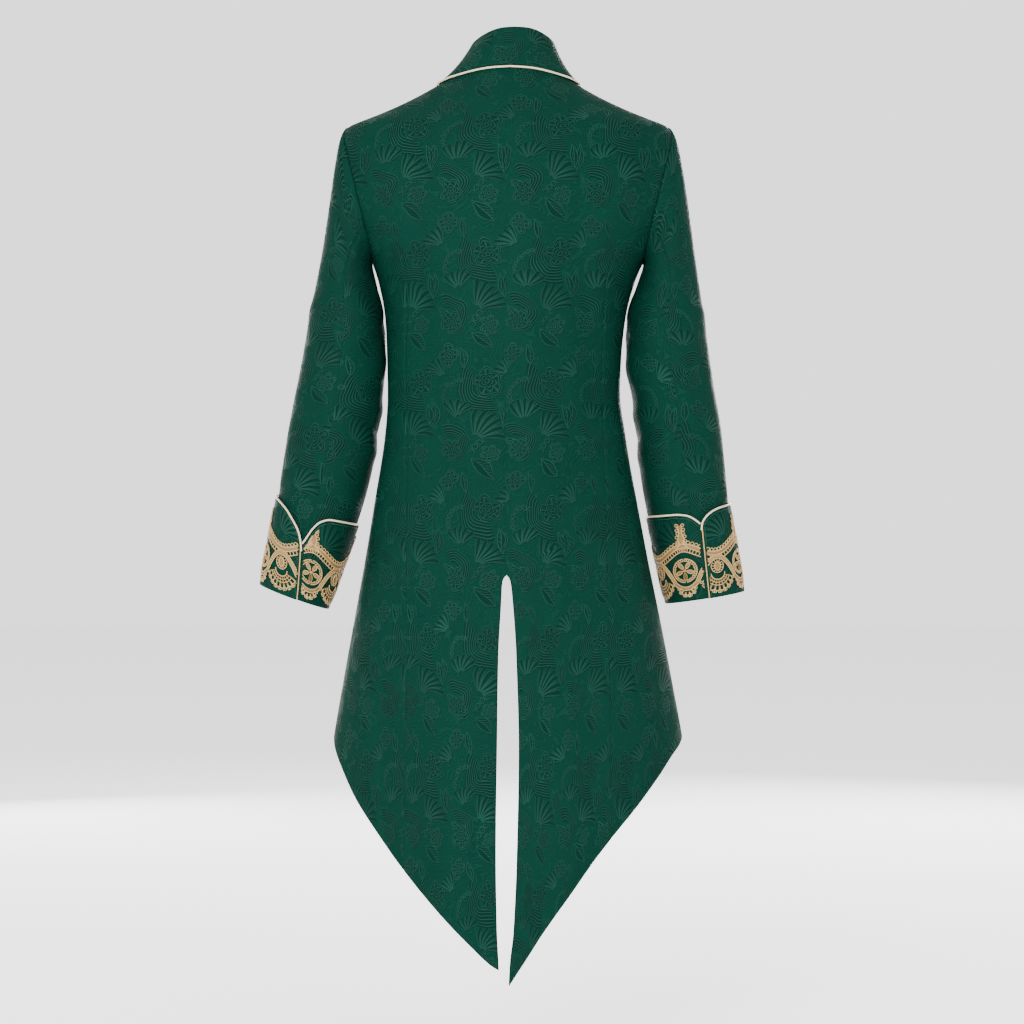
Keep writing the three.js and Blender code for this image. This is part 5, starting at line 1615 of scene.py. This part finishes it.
def lace_ribbons():
    """The closely woven places of one repeat, as a middle path and a half-width at each point."""
    half = HALF_REPEAT
    bands = [(beside(run_of(band_top, -half, half), -TAPE_DEEP / 2), TAPE_DEEP / 2)]
    bands.append((run_of(arch_y, -ARCH_FOOT[0], ARCH_FOOT[0]), ARCH_HALF))
    cx, cy, rx, ry = MEDALLION
    t = np.linspace(-0.96, 0.96, 9)
    bands.append((np.stack([np.full(9, cx), cy + ry * t], -1), rx * np.sqrt(1 - t * t)))
    reach = np.linspace(FAN_NEAR - 0.5, FAN_SCALLOP - 1, 8)
    for k in range(FAN_BARS):
        spoke = spoke_at(180 + mix(-FAN_SPREAD, FAN_SPREAD, k / (FAN_BARS - 1)))
        width = mix(0.6, 1.35, smooth(reach, FAN_NEAR, FAN_SCALLOP))
        bands.append((np.array([0, FAN_Y]) + reach[:, None] * spoke, width))
    for side, flower_x in ((1, -half), (-1, half)):
        end = flower_x + side * (half - ARCH_FOOT[0])
        bands.append((run_of(lambda x: lower_band_y(x - flower_x), flower_x, end), 2.2))
        for k in range(PETALS):
            spoke = spoke_at(360 / PETALS * (k + 0.5))
            if spoke[0] * side < -0.05:
                continue
            reach_out = np.linspace(3.2, 11.4, 7)
            t = (reach_out - 7.3) / 4.4
            width = 1.9 * np.sqrt(np.clip(1 - t * t, 0.01, 1)) * (1 + 0.25 * t)
            bands.append((np.array([flower_x, FLOWER_Y]) + reach_out[:, None] * spoke, width))
        stem = np.linspace(FINIAL_FOOT - 1, FINIAL_TOP - 2, 16)
        width = finial_half_width(stem) / 2
        bands.append((np.stack([flower_x + side * width, stem], -1), width))
    return bands


LACE_EDGE_ROOM = 5
HALVES = {"outer": (1, 179.8), "inner": (180.2, LACE_END_TURN)}
LACE_FANS = {
    side: [cuff["lace_turn"] + REPEAT_TURN * k for k in range(-1, 5)] for side, cuff in CUFFS.items()
}


def round_cuff(paths, fan_turn):
    """Flat lace paths as degrees round the cuff and heights above its hem."""
    return [np.stack([fan_turn + path[:, 0] / ROUND_MM, path[:, 1]], -1) for path in paths]


def on_cuff(side, paths, lifts):
    """Many paths laid on the cuff at once, kept below its upper edge."""
    counts = [len(path) for path in paths]
    degrees, high = np.concatenate(paths).T
    room = cuff_edge[side](degrees, "high") - LACE_EDGE_ROOM
    eased_high = np.where(high > room - 6, room - 6 * np.exp(-(high - room + 6) / 6), high)
    base = cuff_lift(side, degrees) + CLOTH + LACE_CLEARANCE
    placed = cuff_point(side, degrees, eased_high, base + np.repeat(lifts, counts))
    return np.split(placed, np.cumsum(counts)[:-1])


def cut_runs(keep):
    """Unbroken runs of kept points."""
    at = np.where(keep)[0]
    return [run for run in np.split(at, np.where(np.diff(at) > 1)[0] + 1) if len(run) > 1]


def strip_faces(count, first):
    """Faces of a thin closed strip of count rungs: its top, its underside, its edges and ends."""
    i = first + 2 * np.arange(count - 1)
    low = 2 * count
    top = np.stack([i, i + 2, i + 3, i + 1], -1)
    under = np.stack([i, i + 1, i + 3, i + 2], -1) + low
    left = np.stack([i, i + low, i + low + 2, i + 2], -1)
    right = np.stack([i + 1, i + 3, i + 3 + low, i + 1 + low], -1)
    last = first + low - 2
    ends = [[first, first + 1, first + 1 + low, first + low], [last, last + low, last + 1 + low, last + 1]]
    return np.concatenate([top, under, left, right, np.array(ends)])


def lace_half_cords(side, half_name):
    low, high = HALVES[half_name]
    pattern = lace_cords()
    paths, radii, lifts = [], [], []
    for fan_turn in LACE_FANS[side]:
        paths += round_cuff([path for path, _, _ in pattern], fan_turn)
        radii += [radius for _, radius, _ in pattern]
        lifts += [LACE_THICK / 2 + raised for _, _, raised in pattern]
    kept, kept_radii = [], []
    for placed, flat, radius in zip(on_cuff(side, paths, lifts), paths, radii):
        for run in cut_runs((flat[:, 0] >= low) & (flat[:, 0] <= high)):
            kept.append(placed[run])
            kept_radii.append(radius)
    area = 0
    for path, radius in zip(kept, kept_radii):
        area += 2 * radius * np.linalg.norm(np.diff(path, axis=0), axis=1).sum()
    return cord(f"lace_{side}_{half_name}", kept, kept_radii, 5, lace_cord), area


def joined(pieces):
    """Joins pieces into the first one."""
    with bpy.context.temp_override(active_object=pieces[0], selected_editable_objects=pieces):
        bpy.ops.object.join()
    return pieces[0]


def lace_half(side, half_name):
    low, high = HALVES[half_name]
    cords, area = lace_half_cords(side, half_name)
    rims, widths, alongs = [], [], []
    for path, width in lace_ribbons():
        width = np.broadcast_to(np.asarray(width, float), len(path))
        edge = beside(path, 1.0) - path
        rims.append((path + edge * width[:, None], path - edge * width[:, None]))
        steps = np.linalg.norm(np.diff(path, axis=0), axis=1)
        widths.append(2 * width[1:] * steps)
        along = np.concatenate([[0], np.cumsum(steps)])
        alongs.append(np.stack([np.stack([along, width], -1), np.stack([along, -width], -1)], 1))
    paths = []
    for fan_turn in LACE_FANS[side]:
        for pair in rims:
            paths += round_cuff(pair, fan_turn)
    over = on_cuff(side, paths, [LACE_THICK] * len(paths))
    under = on_cuff(side, paths, [0.0] * len(paths))
    points, faces, flat = [], [], []
    count = 0
    for k in range(0, len(paths), 2):
        middle = (paths[k][:, 0] + paths[k + 1][:, 0]) / 2
        for run in cut_runs((middle >= low) & (middle <= high)):
            for layer in (over, under):
                points.append(np.stack([layer[k][run], layer[k + 1][run]], 1).reshape(-1, 3))
            faces.append(strip_faces(len(run), count))
            count += 4 * len(run)
            band = k // 2 % len(rims)
            flat.append(np.tile(alongs[band][run].reshape(-1, 2), (2, 1)))
            area += widths[band][run[:-1]].sum()
    piece = mesh_object(
        f"lace_{side}_{half_name}_bands", np.concatenate(points), np.concatenate(faces), [woven_lace],
        np.concatenate(flat), None, False,
    )
    piece = joined([piece, cords])
    trim(piece, f"lace_{side}_{half_name}")
    area = round(float(area) * MM * MM, 5)


STITCH_LIFT = 0.12
THREAD_RADIUS = 0.16


def stitch_tree():
    """Geometry nodes that set small stitches at an even pitch along a guide."""
    sockets = [("Guide", "Geometry"), ("Pitch", "Float"), ("Long", "Float"), ("Thread", "Float")]
    sockets.append(("Finish", "Material"))
    tree, entry, leave = new_group("set stitches", "GeometryNodeTree", sockets, [("Stitches", "Geometry")])
    node = tree.nodes.new
    curve, points = node("GeometryNodeMeshToCurve"), node("GeometryNodeCurveToPoints")
    points.mode = "LENGTH"
    stitch, place_on = node("GeometryNodeMeshCylinder"), node("GeometryNodeInstanceOnPoints")
    stitch.inputs["Vertices"].default_value = 5
    realize, finish = node("GeometryNodeRealizeInstances"), node("GeometryNodeSetMaterial")
    link = tree.links.new
    link(entry.outputs["Guide"], curve.inputs["Mesh"])
    link(curve.outputs[0], points.inputs["Curve"])
    link(entry.outputs["Pitch"], points.inputs["Length"])
    link(entry.outputs["Thread"], stitch.inputs["Radius"])
    link(entry.outputs["Long"], stitch.inputs["Depth"])
    link(points.outputs["Points"], place_on.inputs["Points"])
    link(stitch.outputs["Mesh"], place_on.inputs["Instance"])
    align = node("FunctionNodeAlignRotationToVector")
    align.axis = "Z"
    link(points.outputs["Tangent"], align.inputs["Vector"])
    link(align.outputs[0], place_on.inputs["Rotation"])
    link(place_on.outputs[0], realize.inputs[0])
    link(realize.outputs[0], finish.inputs["Geometry"])
    link(entry.outputs["Finish"], finish.inputs["Material"])
    link(finish.outputs[0], leave.inputs["Stitches"])
    return tree


def thread_material():
    material, tree, bsdf = new_material("green sewing thread")
    fuzz = grain_of(tree, 900, 2)
    colour = blend_colour(tree, fuzz, (0.006, 0.050, 0.036), (0.014, 0.095, 0.068))
    tree.links.new(colour, bsdf.inputs["Base Color"])
    bsdf.inputs["Roughness"].default_value = 0.5
    return material


def stitched(name, paths, pitch, long, material, tree):
    guide = path_object(name, paths, [0.1] * len(paths))
    values = {"Pitch": pitch * MM, "Long": long * MM, "Thread": THREAD_RADIUS * MM, "Finish": material}
    piece = settled(guide, name, tree, values)
    trim(piece, None)


def seam_stitches():
    """Close stitches beside the piping and the overlap's cord of each cuff."""
    tree = stitch_tree()
    thread = thread_material()
    for side in SIDES:
        degrees = np.arange(2.0, 356.0, 1.5)
        high = cuff_edge[side](degrees, "high") - 2.4
        path = cuff_point(side, degrees, high, cuff_lift(side, degrees) + CLOTH + STITCH_LIFT)
        rise = np.linspace(3, float(cuff_edge[side](0.0, "high")) - 3, 30)
        beside_edge = np.full(30, 2.0)
        up = cuff_point(side, beside_edge, rise, cuff_lift(side, beside_edge) + CLOTH + STITCH_LIFT)
        stitched(f"cuff_stitches_{side}", [up, path], 2.6, 1.7, thread, tree)


for side in SIDES:
    back_panel(side)
    side_back_panel(side)
    front_panel(side)
    sleeve_panel(side, "upper")
    sleeve_panel(side, "under")
    cuff(side)
    cuff_piping(side)
    for half_name in HALVES:
        lace_half(side, half_name)
collar_piece()
collar_piping()
for number in range(1, 6):
    domed_button(number)
seam_stitches()


# The studio: a pale floor, soft light from the camera's side and the camera behind the jacket.
CAMERA_AWAY = 3.6
CAMERA_X = -0.0053
CAMERA_Z = -0.5586
FRAME_WIDE = 1.362
FLOOR_Z = -1.30
HORIZON = 1.9
DOME = 1.5
FLOOR_GLOW = 0.3


def studio():
    floor_mesh = bpy.data.meshes.new("floor")
    size = 14
    corners = [(-size, -size, FLOOR_Z), (size, -size, FLOOR_Z), (size, size, FLOOR_Z), (-size, size, FLOOR_Z)]
    floor_mesh.from_pydata(corners, [], [(0, 1, 2, 3)])
    floor = added("floor", floor_mesh)
    material, _, bsdf = new_material("pale floor")
    bsdf.inputs["Base Color"].default_value = (0.97, 0.97, 0.97, 1)
    bsdf.inputs["Roughness"].default_value = 0.9
    bsdf.inputs["Emission Color"].default_value = (1, 1, 1, 1)
    bsdf.inputs["Emission Strength"].default_value = FLOOR_GLOW
    floor_mesh.materials.append(material)
    camera_data = bpy.data.cameras.new("camera")
    camera_data.sensor_width = 36
    camera_data.lens = 36 * CAMERA_AWAY / FRAME_WIDE
    camera = added("camera", camera_data)
    camera.location = (CAMERA_X, CAMERA_AWAY, CAMERA_Z)
    camera.rotation_euler = (math.pi / 2, 0, math.pi)
    bpy.context.scene.camera = camera


def softbox(name, place_at, aim, size, power):
    data = bpy.data.lights.new(name, "AREA")
    data.shape = "RECTANGLE"
    data.size, data.size_y = size
    data.energy = power
    light = added(name, data)
    light.location = place_at
    away = np.array(place_at) - np.array(aim)
    light.rotation_euler = (
        math.acos(away[2] / np.linalg.norm(away)), 0, math.atan2(away[1], away[0]) + math.pi / 2
    )


def studio_world():
    """White round the horizon and dimmer overhead, so that sides turned away stay dark."""
    world = bpy.data.worlds.new("white studio")
    world.use_nodes = True
    tree = world.node_tree
    coordinates = tree.nodes.new("ShaderNodeTexCoord")
    split = tree.nodes.new("ShaderNodeSeparateXYZ")
    height = tree.nodes.new("ShaderNodeMath")
    height.operation = "ABSOLUTE"
    fade = tree.nodes.new("ShaderNodeMapRange")
    fade.interpolation_type = "SMOOTHSTEP"
    for name, value in (("From Min", 0.22), ("From Max", 0.5), ("To Min", HORIZON), ("To Max", DOME)):
        fade.inputs[name].default_value = value
    tree.links.new(coordinates.outputs["Generated"], split.inputs[0])
    tree.links.new(split.outputs["Z"], height.inputs[0])
    tree.links.new(height.outputs[0], fade.inputs["Value"])
    tree.links.new(fade.outputs["Result"], tree.nodes["Background"].inputs["Strength"])
    tree.nodes["Background"].inputs["Color"].default_value = (1, 1, 1, 1)
    bpy.context.scene.world = world


def lights():
    studio_world()
    middle = (0, 0, -0.55)
    softbox("back key", (1.3, 3.4, 0.4), middle, (1.2, 1.6), 200)
    softbox("back fill", (-1.4, 3.2, -0.2), middle, (1.2, 1.6), 60)
    softbox("front key", (-1.3, -3.4, 0.4), middle, (1.2, 1.6), 150)
    softbox("front fill", (1.4, -3.2, -0.2), middle, (1.2, 1.6), 60)
    softbox("overhead", (0, 0, 4.2), middle, (6.0, 6.0), 150)


studio()
lights()
